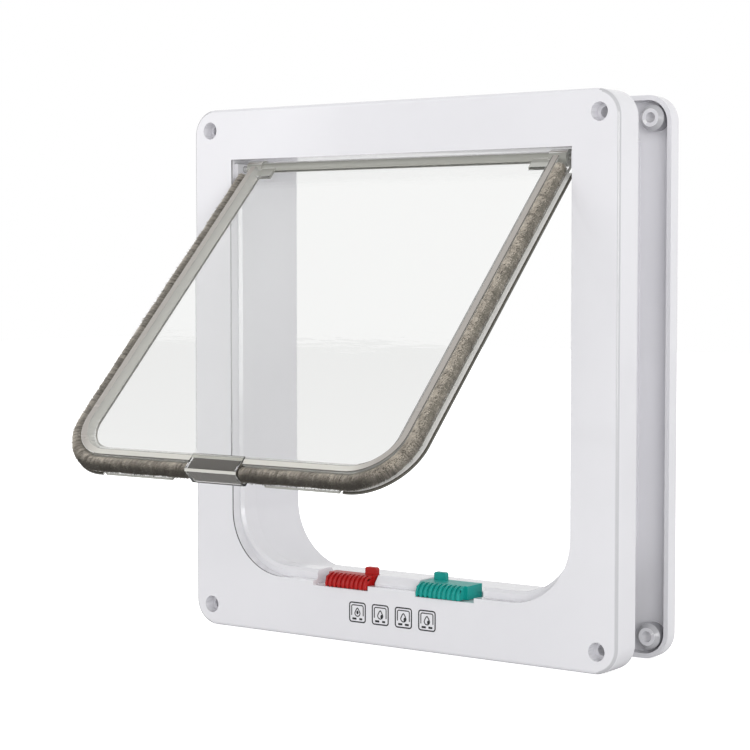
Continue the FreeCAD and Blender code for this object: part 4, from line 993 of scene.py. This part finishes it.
    def ring(self, half: float, corner: float, line: float) -> bpy.types.Object:
        """Draw a rounded square frame of even line.

        Args:
            half: Half its width, outside.
            corner: Radius of its corners.
            line: Width of the line.

        Returns:
            The flat frame.
        """
        bpy.ops.mesh.primitive_plane_add(size=2.0 * half)
        ring = Bench.added("sign_part")
        Bench.open(ring)
        bpy.ops.mesh.bevel(offset=corner, segments=5, affect="VERTICES")
        bpy.ops.mesh.inset(thickness=line, use_even_offset=True)
        bpy.ops.mesh.delete(type="FACE")
        Bench.close()
        return ring

    def door_outline(self, half: float, centre: float, line: float) -> bpy.types.Object:
        """Draw a small pointed arch in outline.

        Args:
            half: Half its width.
            centre: Height of its middle.
            line: Width of the line.

        Returns:
            The flat outline.
        """
        bpy.ops.mesh.primitive_circle_add(vertices=20, radius=half, fill_type="NGON")
        door = Bench.added("sign_part")
        for vertex in door.data.vertices:
            if vertex.co.y > 0.0:
                share = vertex.co.y / half
                vertex.co.y *= 1.0 + 0.5 * share
                vertex.co.x *= 1.0 - 0.30 * share
            vertex.co.y += centre
        Bench.open(door)
        bpy.ops.mesh.inset(thickness=line, use_even_offset=True)
        bpy.ops.mesh.delete(type="FACE")
        Bench.close()
        return door

    def mark(self, radius: float, place: tuple[float, float]) -> bpy.types.Object:
        """Draw a small filled drop at a place."""
        bpy.ops.mesh.primitive_circle_add(vertices=14, radius=radius, fill_type="NGON")
        mark = Bench.added("sign_part")
        for vertex in mark.data.vertices:
            stretch = 1.7 if vertex.co.y > 0.0 else 1.2
            vertex.co = (vertex.co.x + place[0], vertex.co.y * stretch + place[1], 0.0)
        return mark

    def bar(self, across: float, up: float, length: float, line: float) -> bpy.types.Object:
        """Draw a short round-ended bar."""
        bpy.ops.mesh.primitive_plane_add(size=1.0)
        bar = Bench.added("sign_part")
        for vertex in bar.data.vertices:
            vertex.co = (vertex.co.x * length + across, vertex.co.y * line * 1.3 + up, 0.0)
        Bench.open(bar)
        bpy.ops.mesh.bevel(offset=line * 0.4, segments=3, affect="VERTICES")
        Bench.close()
        return bar


@dataclass
class RearFrame(SubAssembly):
    """The white rear frame with its collar and bosses."""

    body: str = "rear"
    edge_round: float = 0.25 * MM
    boss_place: tuple[float, float] = (107.5 * MM, 115.0 * MM)
    boss_hole: float = 2.6 * MM
    boss_radius: float = 6.3 * MM
    boss_back: float = 35.0 * MM

    def build(self) -> None:
        """Build its one piece."""
        shell = Bench.moulded_copy("rear_frame", "rear_frame_moulding", self.edge_round)
        self.hand_over(shell, self.finishes.white, "white_plastic", "rear_frame")
        # Painted light on the bosses: a paler white on their front rings for a highlight, a darker white on
        # their chamfers and a darker one still on their walls for shade.
        Bench.dress(shell, self.finishes.boss_chamfer_painted_shade, lambda face: self.on_boss(face, 0.3, 0.95))
        Bench.dress(shell, self.finishes.boss_wall_painted_shade, lambda face: self.on_boss(face, -0.3, 0.3))
        Bench.dress(shell, self.finishes.boss_painted_highlight, lambda face: self.on_boss(face, 0.95, 1.01))

    def on_boss(self, face: bmesh.types.BMFace, least: float, most: float) -> bool:
        """Tell whether a face belongs to a boss and faces the front by a given share.

        Args:
            face: The face.
            least: Least share of its normal that points to the front.
            most: Most share of it.

        Returns:
            True where it does.
        """
        spot = face.calc_center_median()
        away = math.hypot(abs(spot.x) - self.boss_place[0], abs(spot.z) - self.boss_place[1])
        return self.boss_hole < away < self.boss_radius and spot.y < self.boss_back and (
            least < -face.normal.y < most)


@dataclass
class Sliders(SubAssembly):
    """The two sliders on the sill that lock the flap."""

    edge_round: float = 0.2 * MM
    end_round: float = 0.65 * MM

    def build(self) -> None:
        """Build both."""
        for colour, material in (("red", self.finishes.red), ("green", self.finishes.green)):
            slider = Bench.moulded_copy(f"{colour}_slider", f"{colour}_slider_moulding", 0.0)
            self.round_ends(slider)
            Bench.bevel(slider, self.edge_round)
            self.hand_over(slider, material, f"{colour}_plastic", f"{colour}_slider", body=f"{colour}_lock")

    def round_ends(self, slider: bpy.types.Object) -> None:
        """Round the two ends of a slider's grip more than its other edges.

        Args:
            slider: The slider, still with crisp edges.
        """
        Bench.open(slider, "DESELECT")
        bpy.ops.mesh.select_mode(type="EDGE")
        shape = bmesh.from_edit_mesh(slider.data)
        front = min(vertex.co.y for vertex in shape.verts)
        grip = [vertex.co.x for vertex in shape.verts if vertex.co.y < front + 0.3 * MM]
        for edge in shape.edges:
            middle = (edge.verts[0].co + edge.verts[1].co) / 2
            at_end = all(min(abs(vertex.co.x - end) for end in (min(grip), max(grip))) < 0.05 * MM
                         for vertex in edge.verts)
            edge.select_set(at_end and middle.y < front + 5.0 * MM and edge.calc_face_angle(0.0) > 1.2)
        bmesh.update_edit_mesh(slider.data)
        bpy.ops.mesh.bevel(offset=self.end_round, segments=3, clamp_overlap=False)
        Bench.close()


def hinge_turn() -> Matrix:
    """Find the way from the coordinates of the flap hanging straight down to the frame's, with it open."""
    hinge = next(joint for joint in frame["joints"] if joint["name"] == "flap_swing")
    return Matrix.Translation(Vector(hinge["pos_m"])) @ Matrix.Rotation(OPEN_ANGLE, 4, "X")


@dataclass
class Flap(SubAssembly):
    """The clear flap with its magnet, holder and hinge rod."""

    body: str = "flap"
    edge_round: float = 0.3 * MM
    rail: Contour = Contour(88.6 * MM, -185.7 * MM, 24.3 * MM)
    rail_depth: float = 10.2 * MM
    rail_edges: tuple[float, ...] = (0.0, 3.2 * MM, 6.1 * MM, 9.0 * MM)
    bar_drop: float = 4.4 * MM
    edge_line: float = 0.36 * MM
    rail_front: float = 3.8 * MM
    left_from: float = 68.0 * MM
    lit_turn: float = 0.58
    holder_top: float = 179.1 * MM
    holder_fold: float = 187.2 * MM
    holder_foot: float = 187.85 * MM
    holder_end: float = 13.0 * MM

    def __post_init__(self) -> None:
        """Find the way from the frame's coordinates to those of the flap hanging straight down."""
        self.to_flap = hinge_turn().inverted()

    def build(self) -> None:
        """Build its rigid pieces."""
        finish = self.finishes
        panel = Bench.moulded_copy("flap_panel", "flap_panel_clear", self.edge_round)
        self.hand_over(panel, finish.clear, "clear_plastic", "flap_panel")
        # Painted light on the panel: a highlight on the right upright's rim, the bar's upward faces and the
        # left upright's front edge, and lines of shade on the rail's edges, the right upright's slope and
        # the left upright's foot.
        for material, wanted in (
                (finish.misty, self.on_rail), (finish.olive, self.on_bar), (finish.olive, self.on_rim),
                (finish.milky, self.on_rail_face), (finish.painted_highlight, self.on_lit_rim),
                (finish.foot_painted_shade, self.on_foot), (finish.painted_edge_shade, self.on_rail_edge),
                (finish.painted_highlight, self.on_lit_edge)):
            Bench.dress(panel, material, wanted)
        holder = Bench.moulded_copy("magnet_holder", "magnet_holder_clear", self.edge_round)
        self.hand_over(holder, finish.thick_clear, "clear_plastic", "magnet_holder")
        # Painted light on the holder: shade on the faces that point down, dark lines of shade on the edges
        # of its top, its ends and the bevel's upper edge, and a highlight on the bevel's lower edge.
        for material, wanted in (
                (finish.underside_painted_shade, lambda face: self.turned(face).z < -0.8),
                (finish.milky, self.on_holder_bevel), (finish.painted_edge_shade, self.on_holder_edge),
                (finish.painted_highlight, self.on_holder_line)):
            Bench.dress(holder, material, wanted)
        magnet = Bench.moulded_copy("flap_magnet", "flap_magnet_block", 0.2 * MM)
        self.hand_over(magnet, finish.magnet, "magnet", "flap_magnet")
        rod = Bench.moulded_copy("hinge_rod", "hinge_rod_drawn", self.edge_round)
        self.hand_over(rod, finish.steel, "steel", "hinge_rod")

    def spot(self, face: bmesh.types.BMFace) -> tuple[Vector, float]:
        """Find a face's middle in the flap's coordinates and its distance in from the rail's outline."""
        spot = self.to_flap @ face.calc_center_median()
        return spot, self.rail.inset(spot.x, spot.z)

    def on_rail(self, face: bmesh.types.BMFace) -> bool:
        """Tell whether a face of the panel belongs to its rail."""
        return self.spot(face)[1] < self.rail_depth

    def on_bar(self, face: bmesh.types.BMFace) -> bool:
        """Tell whether a face of the panel belongs to its hinge bar or gussets."""
        return self.spot(face)[0].z > -self.bar_drop

    def turned(self, face: bmesh.types.BMFace) -> Vector:
        """Find a face's normal in the flap's coordinates."""
        return self.to_flap.to_3x3() @ face.normal

    def on_rail_face(self, face: bmesh.types.BMFace) -> bool:
        """Tell whether a face of the panel belongs to the flat front of the rail."""
        spot, _ = self.spot(face)
        return abs(spot.y + self.rail_front) < 0.05 * MM and self.turned(face).y < -0.8

    def on_rim(self, face: bmesh.types.BMFace) -> bool:
        """Tell whether a face of the panel belongs to the rail's outer rim or its catch lips."""
        spot, inset = self.spot(face)
        return inset < self.edge_line and spot.z < -self.bar_drop

    def on_lit_rim(self, face: bmesh.types.BMFace) -> bool:
        """Tell whether a face belongs to the rim of the right upright, or faces up on the bar, which get a
        painted highlight.
        """
        spot, _ = self.spot(face)
        upright = self.on_rim(face) and spot.x > 0.0 and spot.z > self.rail.bottom + self.rail.radius
        lit = face.normal.z > self.lit_turn and self.turned(face).y > -0.995
        return upright or (spot.z > -self.bar_drop and lit)

    def on_edge(self, face: bmesh.types.BMFace, places: tuple[float, ...]) -> bool:
        """Tell whether a face of the panel softens one of the rail's edges at given distances in."""
        spot, inset = self.spot(face)
        near = min(abs(inset - place) for place in places) < self.edge_line
        return near and spot.z < -2.0 * self.bar_drop and Bench.is_narrow(face)

    def on_rail_edge(self, face: bmesh.types.BMFace) -> bool:
        """Tell whether a face of the panel softens an edge of the rail, or lies on the right upright's
        slope, which get a painted dark line of shade.
        """
        spot, _ = self.spot(face)
        outer, front, inner, foot = self.rail_edges
        if spot.x > self.left_from:
            slope = inner - self.edge_line < self.spot(face)[1] < foot + self.edge_line
            slope = slope and spot.z < -2.0 * self.bar_drop and spot.y < 0.0
            return slope or self.on_edge(face, (outer, front))
        return self.on_edge(face, (outer, front, inner) if spot.x > -self.left_from else (outer,))

    def on_lit_edge(self, face: bmesh.types.BMFace) -> bool:
        """Tell whether a face of the panel softens the left upright's front edge, which gets a painted
        highlight.
        """
        return self.spot(face)[0].x < -self.left_from and self.on_edge(face, self.rail_edges[1:2])

    def on_foot(self, face: bmesh.types.BMFace) -> bool:
        """Tell whether a face softens the foot of the rail's slope on the left upright, which gets a milder
        painted line of shade.
        """
        return self.spot(face)[0].x < -self.left_from and self.on_edge(face, self.rail_edges[3:])

    def on_holder_bevel(self, face: bmesh.types.BMFace) -> bool:
        """Tell whether a face of the holder belongs to the bevel along its front's lower edge."""
        turned = self.turned(face)
        return min(-turned.y, -turned.z) > 0.4 and self.spot(face)[0].z < -self.holder_fold

    def on_holder_edge(self, face: bmesh.types.BMFace) -> bool:
        """Tell whether a face of the holder softens an edge of its top or ends, or the bevel's upper one,
        which get a painted dark line of shade.
        """
        spot, _ = self.spot(face)
        near = min(abs(spot.z + self.holder_top), abs(spot.z + self.holder_fold)) < 0.4 * MM
        return (abs(spot.x) > self.holder_end or near) and Bench.is_narrow(face)

    def on_holder_line(self, face: bmesh.types.BMFace) -> bool:
        """Tell whether a face of the holder softens the bevel's lower edge, which gets a painted highlight.
        """
        spot, _ = self.spot(face)
        low = spot.z < -self.holder_foot and spot.y < -0.6 * self.rail_front
        return low and Bench.is_narrow(face) and abs(spot.x) < self.holder_end


@dataclass
class PileSeal(SubAssembly):
    """The pile round the flap's edge, in two lengths: a backing, a dense bed and thousands of fibres.

    The flap is drawn hanging straight down with its hinge at the origin and X across, and then swung
    open and moved to the hinge. Sections are drawn as distances in from the crest and to the back.
    """

    body: str = "flap"
    crest_drop: float = 188.8 * MM
    start_drop: float = 6.5 * MM
    radius: float = 26.2 * MM
    step: float = 1.0 * MM
    fibre_radius: float = 0.13 * MM
    fibre_length: float = 3.4 * MM
    fibres: int = 27000
    stray_share: float = 0.03
    stray_length: float = 0.7 * MM
    clump: float = 0.5 * MM
    # Painted shade across the pile, from its front foot at 0 to its back one at 1: one table for each
    # upright, and one for the sill.
    upright_painted_shade: tuple[tuple[float, ...], ...] = (
        (0.25, 0.45, 0.85, 1.05, 0.8, 0.5), (0.8, 1.30, 1.30, 0.62, 0.35, 0.35))
    upright_places: tuple[float, ...] = (0.0, 0.15, 0.35, 0.55, 0.75, 1.0)
    sill_places: tuple[float, ...] = (0.0, 0.08, 0.21, 0.33, 0.46, 0.72, 0.85, 1.0)
    sill_painted_shade: tuple[float, ...] = (0.25, 0.72, 0.80, 0.55, 0.14, 0.06, 0.25, 0.3)
    crest_shift: tuple[float, float] = (1.5 * MM, -0.9 * MM)
    seed: int = 7
    backing_section: tuple[tuple[float, float], ...] = ((6.6, -1.5), (9.0, -0.65), (9.0, 0.65), (6.6, 1.5))
    bed_section: tuple[tuple[float, float], ...] = (
        (1.3, -1.4), (1.7, -2.4), (2.6, -2.9), (5.0, -2.7), (5.6, -2.0), (6.7, -1.4),
        (6.7, 1.4), (5.6, 2.0), (2.6, 2.0), (1.5, 1.3))
    tip_outline: tuple[tuple[float, float], ...] = (
        (5.25, -2.75), (4.6, -3.35), (3.4, -3.7), (2.0, -3.45), (0.9, -2.7), (0.25, -1.5),
        (0.05, -0.2), (0.25, 1.0), (0.95, 1.9), (2.0, 2.15))

    def __post_init__(self) -> None:
        """Read the hinge's place and the seal's width off the frame."""
        self.to_frame = hinge_turn()
        low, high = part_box("pile_strip_right")
        self.inner, self.half_width = low.x, high.x
        self.down = self.crest_drop - self.radius - self.start_drop
        self.bend = 0.5 * math.pi * self.radius
        self.along_sill = self.half_width - self.radius - self.inner
        self.length = self.down + self.bend + self.along_sill

    def build(self) -> None:
        """Build both lengths."""
        for side in Side:
            name = f"pile_{side.name.lower()}"
            bed = self.sweep(f"{name}_bed", self.bed_section, side)
            self.roughen(bed)
            self.hand_over(bed, self.finishes.pile_bed, "pile", f"pile_strip_{side.name.lower()}")
            backing = self.sweep(f"{name}_backing", self.backing_section, side)
            self.hand_over(backing, self.finishes.backing, "pile")
            fibres = self.build_fibres(f"{name}_fibres", side)
            self.hand_over(fibres, self.finishes.pile, "pile")

    def crest_at(self, run: np.ndarray) -> tuple[np.ndarray, np.ndarray]:
        """Find points of the crest line, on the right side.

        Args:
            run: Distances along the crest from its upper end.

        Returns:
            The points as X and Z, and the outward direction at each, also as X and Z.
        """
        points = np.empty((len(run), 2))
        outward = np.empty((len(run), 2))
        upright = run < self.down
        points[upright, 0] = self.half_width
        points[upright, 1] = -self.start_drop - run[upright]
        outward[upright] = (1.0, 0.0)
        turning = ~upright & (run < self.down + self.bend)
        angle = (run[turning] - self.down) / self.radius
        facing = np.stack([np.cos(angle), -np.sin(angle)], axis=1)
        centre = np.array([self.half_width - self.radius, self.radius - self.crest_drop])
        points[turning] = centre + facing * self.radius
        outward[turning] = facing
        level = run >= self.down + self.bend
        points[level, 0] = self.half_width - self.radius - (run[level] - self.down - self.bend)
        points[level, 1] = -self.crest_drop
        outward[level] = (0.0, -1.0)
        return points, outward

    def sweep(self, name: str, section: tuple[tuple[float, float], ...], side: Side) -> bpy.types.Object:
        """Sweep a section down the side, round the corner and along the sill.

        Args:
            name: Name of the piece.
            section: Its corners in millimetres, in from the crest and to the back.
            side: Left or right.

        Returns:
            The piece, in the frame's coordinates.
        """
        bpy.ops.mesh.primitive_circle_add(vertices=len(section), radius=1.0, fill_type="NGON")
        piece = Bench.added(name)
        for vertex, (inward, back) in zip(piece.data.vertices, section):
            vertex.co = (self.half_width - inward * MM, back * MM, -self.start_drop)
        Bench.open(piece)
        count = round(self.down / self.step)
        for _ in range(count):
            bpy.ops.mesh.extrude_region_move(
                TRANSFORM_OT_translate={"value": (0.0, 0.0, -self.down / count)})
        centre = (self.half_width - self.radius, 0.0, self.radius - self.crest_drop)
        bpy.ops.mesh.spin(steps=round(self.bend / self.step), angle=0.5 * math.pi, center=centre,
                          axis=(0.0, -1.0, 0.0))
        count = round(self.along_sill / self.step)
        for _ in range(count):
            bpy.ops.mesh.extrude_region_move(
                TRANSFORM_OT_translate={"value": (-self.along_sill / count, 0.0, 0.0)})
        bpy.ops.mesh.select_all(action="SELECT")
        bpy.ops.mesh.remove_doubles(threshold=0.01 * MM)
        bpy.ops.mesh.normals_make_consistent(inside=False)
        Bench.close()
        bpy.ops.object.shade_smooth()
        if side is Side.LEFT:
            piece.data.transform(Matrix.Scale(-1.0, 4, Vector((1.0, 0.0, 0.0))))
            piece.data.flip_normals()
        piece.data.transform(self.to_frame)
        return piece

    def roughen(self, bed: bpy.types.Object) -> None:
        """Give the bed soft clumps."""
        Bench.open(bed)
        bpy.ops.mesh.subdivide(number_cuts=1)
        Bench.close()
        clumps = bpy.data.textures.new(f"{bed.name}_clumps", "CLOUDS")
        clumps.noise_scale = 1.6 * MM
        clumps.noise_depth = 2
        lumps = bed.modifiers.new("clumps", "DISPLACE")
        lumps.texture = clumps
        lumps.strength = 0.6 * MM
        lumps.mid_level = 0.85
        bpy.ops.object.modifier_apply(modifier=lumps.name)

    def build_fibres(self, name: str, side: Side) -> bpy.types.Object:
        """Plant the fibres, which fan out from the groove to the outline of their tips.

        Args:
            name: Name of the piece.
            side: Left or right.

        Returns:
            The fibres as one mesh, in the frame's coordinates, with the attributes along and a lightness of
            painted shade and random tone.
        """
        random = np.random.default_rng(self.seed + side.value)
        count = self.fibres
        run = random.uniform(0.0, self.length, count)
        outline = np.array(self.tip_outline) * MM
        walked = np.concatenate([[0.0], np.cumsum(np.linalg.norm(np.diff(outline, axis=0), axis=1))])
        share = random.uniform(0.0, 1.0, count)
        inward = np.interp(share * walked[-1], walked, outline[:, 0])
        back = np.interp(share * walked[-1], walked, outline[:, 1])
        crest, outward = self.crest_at(run)
        broad = self.ripple(run * 170.0, share * 1.5, 3.7 * side.value)
        fine = self.ripple(run * 1300.0, share * 3.0, 9.1 * side.value)
        streak = self.ripple(run * 2600.0, share * 1.6, 5.3 * side.value)
        tips = np.stack([inward, back], axis=1)
        roots = np.stack([np.full(count, 7.2 * MM), 0.30 * back], axis=1)
        fan = tips - roots
        fan /= np.linalg.norm(fan, axis=1)[:, None]
        sunk = self.clump * np.clip(0.4 + 0.5 * broad + 0.5 * fine - 0.5 * streak, 0.0, 1.6)
        sunk += random.uniform(0.0, 0.25 * MM, count)
        sunk -= self.stray_length * (random.uniform(0.0, 1.0, count) < self.stray_share)
        tips -= fan * sunk[:, None]
        lean = 0.25 * broad + 0.25 * fine + random.normal(0.0, 0.12, count)
        length = np.minimum(self.fibre_length, np.linalg.norm(tips - roots, axis=1))
        starts = tips - fan * length[:, None]
        shift = self.crest_shift[0 if side is Side.LEFT else 1]
        easing = np.clip((self.down + 0.5 * self.bend - run) / (30.0 * MM), 0.0, 1.0)
        tangent = np.stack([-outward[:, 1], np.zeros(count), outward[:, 0]], axis=1)
        out_3d = np.stack([outward[:, 0], np.zeros(count), outward[:, 1]], axis=1)
        base = np.stack([crest[:, 0], np.zeros(count), crest[:, 1]], axis=1)
        ends = []
        for points, pushed in ((starts, 0.4), (tips, 1.0)):
            reach = -points[:, 0] + pushed * shift * easing
            reach = np.minimum(reach, 1.2 * MM)
            place = base + out_3d * reach[:, None]
            place[:, 1] += points[:, 1]
            ends.append(place)
        ends[0] -= tangent * (lean * length)[:, None]
        if side is Side.LEFT:
            for place in ends:
                place[:, 0] *= -1.0
        # Painted shade across the pile, with random clump tone on top of it.
        shade_and_tone = self.painted_shade_of(side, run, share)
        shade_and_tone = np.clip(shade_and_tone * (1.0 + 0.8 * streak + 0.5 * fine + 0.3 * broad), 0.05, 1.4)
        return self.plant(name, ends[0], ends[1], shade_and_tone)

    def painted_shade_of(self, side: Side, run: np.ndarray, share: np.ndarray) -> np.ndarray:
        """Find the pile's painted shade: dark across the middle of its crest along the sill, and on the
        uprights darker at the front on the left and towards the back on the right.

        Args:
            side: Left or right.
            run: Distances along the crest.
            share: Places across the pile, from its front foot at 0 to its back one at 1.

        Returns:
            The lightness of each fibre, about 0 to 1.
        """
        upright = np.interp(share, self.upright_places, self.upright_painted_shade[0 if side is Side.LEFT else 1])
        sill_lightness = np.interp(share, self.sill_places, self.sill_painted_shade)
        sill = np.clip((run - self.down - 0.45 * self.bend) / (10.0 * MM), 0.0, 1.0)
        return upright + (sill_lightness - upright) * sill

    @staticmethod
    def ripple(first: np.ndarray, second: np.ndarray, third: float) -> np.ndarray:
        """Read smooth noise, about -1 to 1, at places given by three coordinates."""
        return np.array([noise.noise(Vector((a, b, third))) for a, b in zip(first, second)])

    def plant(self, name: str, roots: np.ndarray, tips: np.ndarray, shade_and_tone: np.ndarray) -> bpy.types.Object:
        """Copy one three-sided blunt fibre from each root to its tip.

        Args:
            name: Name of the piece.
            roots: Lower ends, one row each.
            tips: Upper ends, one row each.
            shade_and_tone: Lightness of each fibre, 0 to 1.

        Returns:
            The fibres as one mesh.
        """
        bpy.ops.mesh.primitive_cone_add(vertices=3, radius1=0.8, radius2=0.75, depth=1.0,
                                        location=(0.0, 0.0, 0.5))
        pattern = Bench.added(name)
        bpy.ops.object.transform_apply(location=True, rotation=True, scale=True)
        shape = np.array([vertex.co for vertex in pattern.data.vertices])
        faces = [tuple(face.vertices) for face in pattern.data.polygons]
        axis = tips - roots
        reach = np.linalg.norm(axis, axis=1)
        axis /= reach[:, None]
        first = np.cross(axis, np.array([0.0, 1.0, 0.0]))
        first /= np.linalg.norm(first, axis=1)[:, None]
        second = np.cross(axis, first)
        width = self.fibre_radius
        places = (roots[:, None, :]
                  + first[:, None, :] * shape[None, :, 0, None] * width
                  + second[:, None, :] * shape[None, :, 1, None] * width
                  + axis[:, None, :] * shape[None, :, 2, None] * reach[:, None, None])
        count, each = len(roots), len(shape)
        mesh = bpy.data.meshes.new(name)
        indices = [tuple(corner + each * number for corner in face)
                   for number in range(count) for face in faces]
        mesh.from_pydata(places.reshape(-1, 3).tolist(), [], indices)
        along = mesh.attributes.new("along", "FLOAT", "POINT")
        values = np.where(shape[None, :, 2] > 0.5, 1.0, 0.3) * np.ones((count, 1))
        along.data.foreach_set("value", values.astype(np.float32).ravel())
        lightness = mesh.attributes.new("shade_and_tone", "FLOAT", "POINT")
        lightness.data.foreach_set("value", np.repeat(shade_and_tone, each).astype(np.float32))
        old = pattern.data
        pattern.data = mesh
        bpy.data.meshes.remove(old)
        mesh.transform(self.to_frame)
        Bench.take(pattern)
        bpy.ops.object.shade_smooth()
        return pattern


@dataclass
class OuterRim(PileSeal):
    """The thin clear rim behind the pile, which stands out a little past its uprights and its sill."""

    rim_half: float = 91.7 * MM
    rim_drop: float = 187.9 * MM
    rim_section: tuple[tuple[float, float], ...] = (
        (0.0, 2.9), (0.0, 3.75), (3.6, 3.75), (3.6, 2.9), (0.9, 2.9))

    def __post_init__(self) -> None:
        """Set the rim's own outline."""
        super().__post_init__()
        self.half_width, self.crest_drop = self.rim_half, self.rim_drop
        self.inner = self.half_width - self.radius - 2.0 * MM
        self.down = self.crest_drop - self.radius - self.start_drop
        self.along_sill = self.half_width - self.radius - self.inner

    def build(self) -> None:
        """Build both halves."""
        for side in Side:
            rim = self.sweep(f"outer_rim_{side.name.lower()}", self.rim_section, side)
            Bench.smooth(rim, 35.0)
            # The whole rim carries a painted highlight, and its outer edge a painted dark line of shade.
            self.hand_over(rim, self.finishes.painted_highlight, "clear_plastic")
            Bench.dress(rim, self.finishes.painted_edge_shade, self.on_outside)

    def on_outside(self, face: bmesh.types.BMFace) -> bool:
        """Tell whether a face belongs to the rim's outer edge, which gets a painted dark line of shade."""
        spot = self.to_frame.inverted() @ face.calc_center_median()
        return Contour(self.half_width, -self.crest_drop, self.radius).inset(spot.x, spot.z) < 0.6 * MM


def report_size() -> None:
    LOG.info("size written")


def main() -> None:
    """Build the studio and every piece of the flap."""
    logging.basicConfig(level=logging.INFO, format="%(name)s: %(message)s")
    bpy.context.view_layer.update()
    finishes = Finishes(Effects())
    Studio().build()
    for part in (FrontFrame(finishes), RearFrame(finishes), Sliders(finishes), Flap(finishes),
                 PileSeal(finishes), OuterRim(finishes)):
        part.build()
    report_size()


if __name__ == "__main__":
    main()
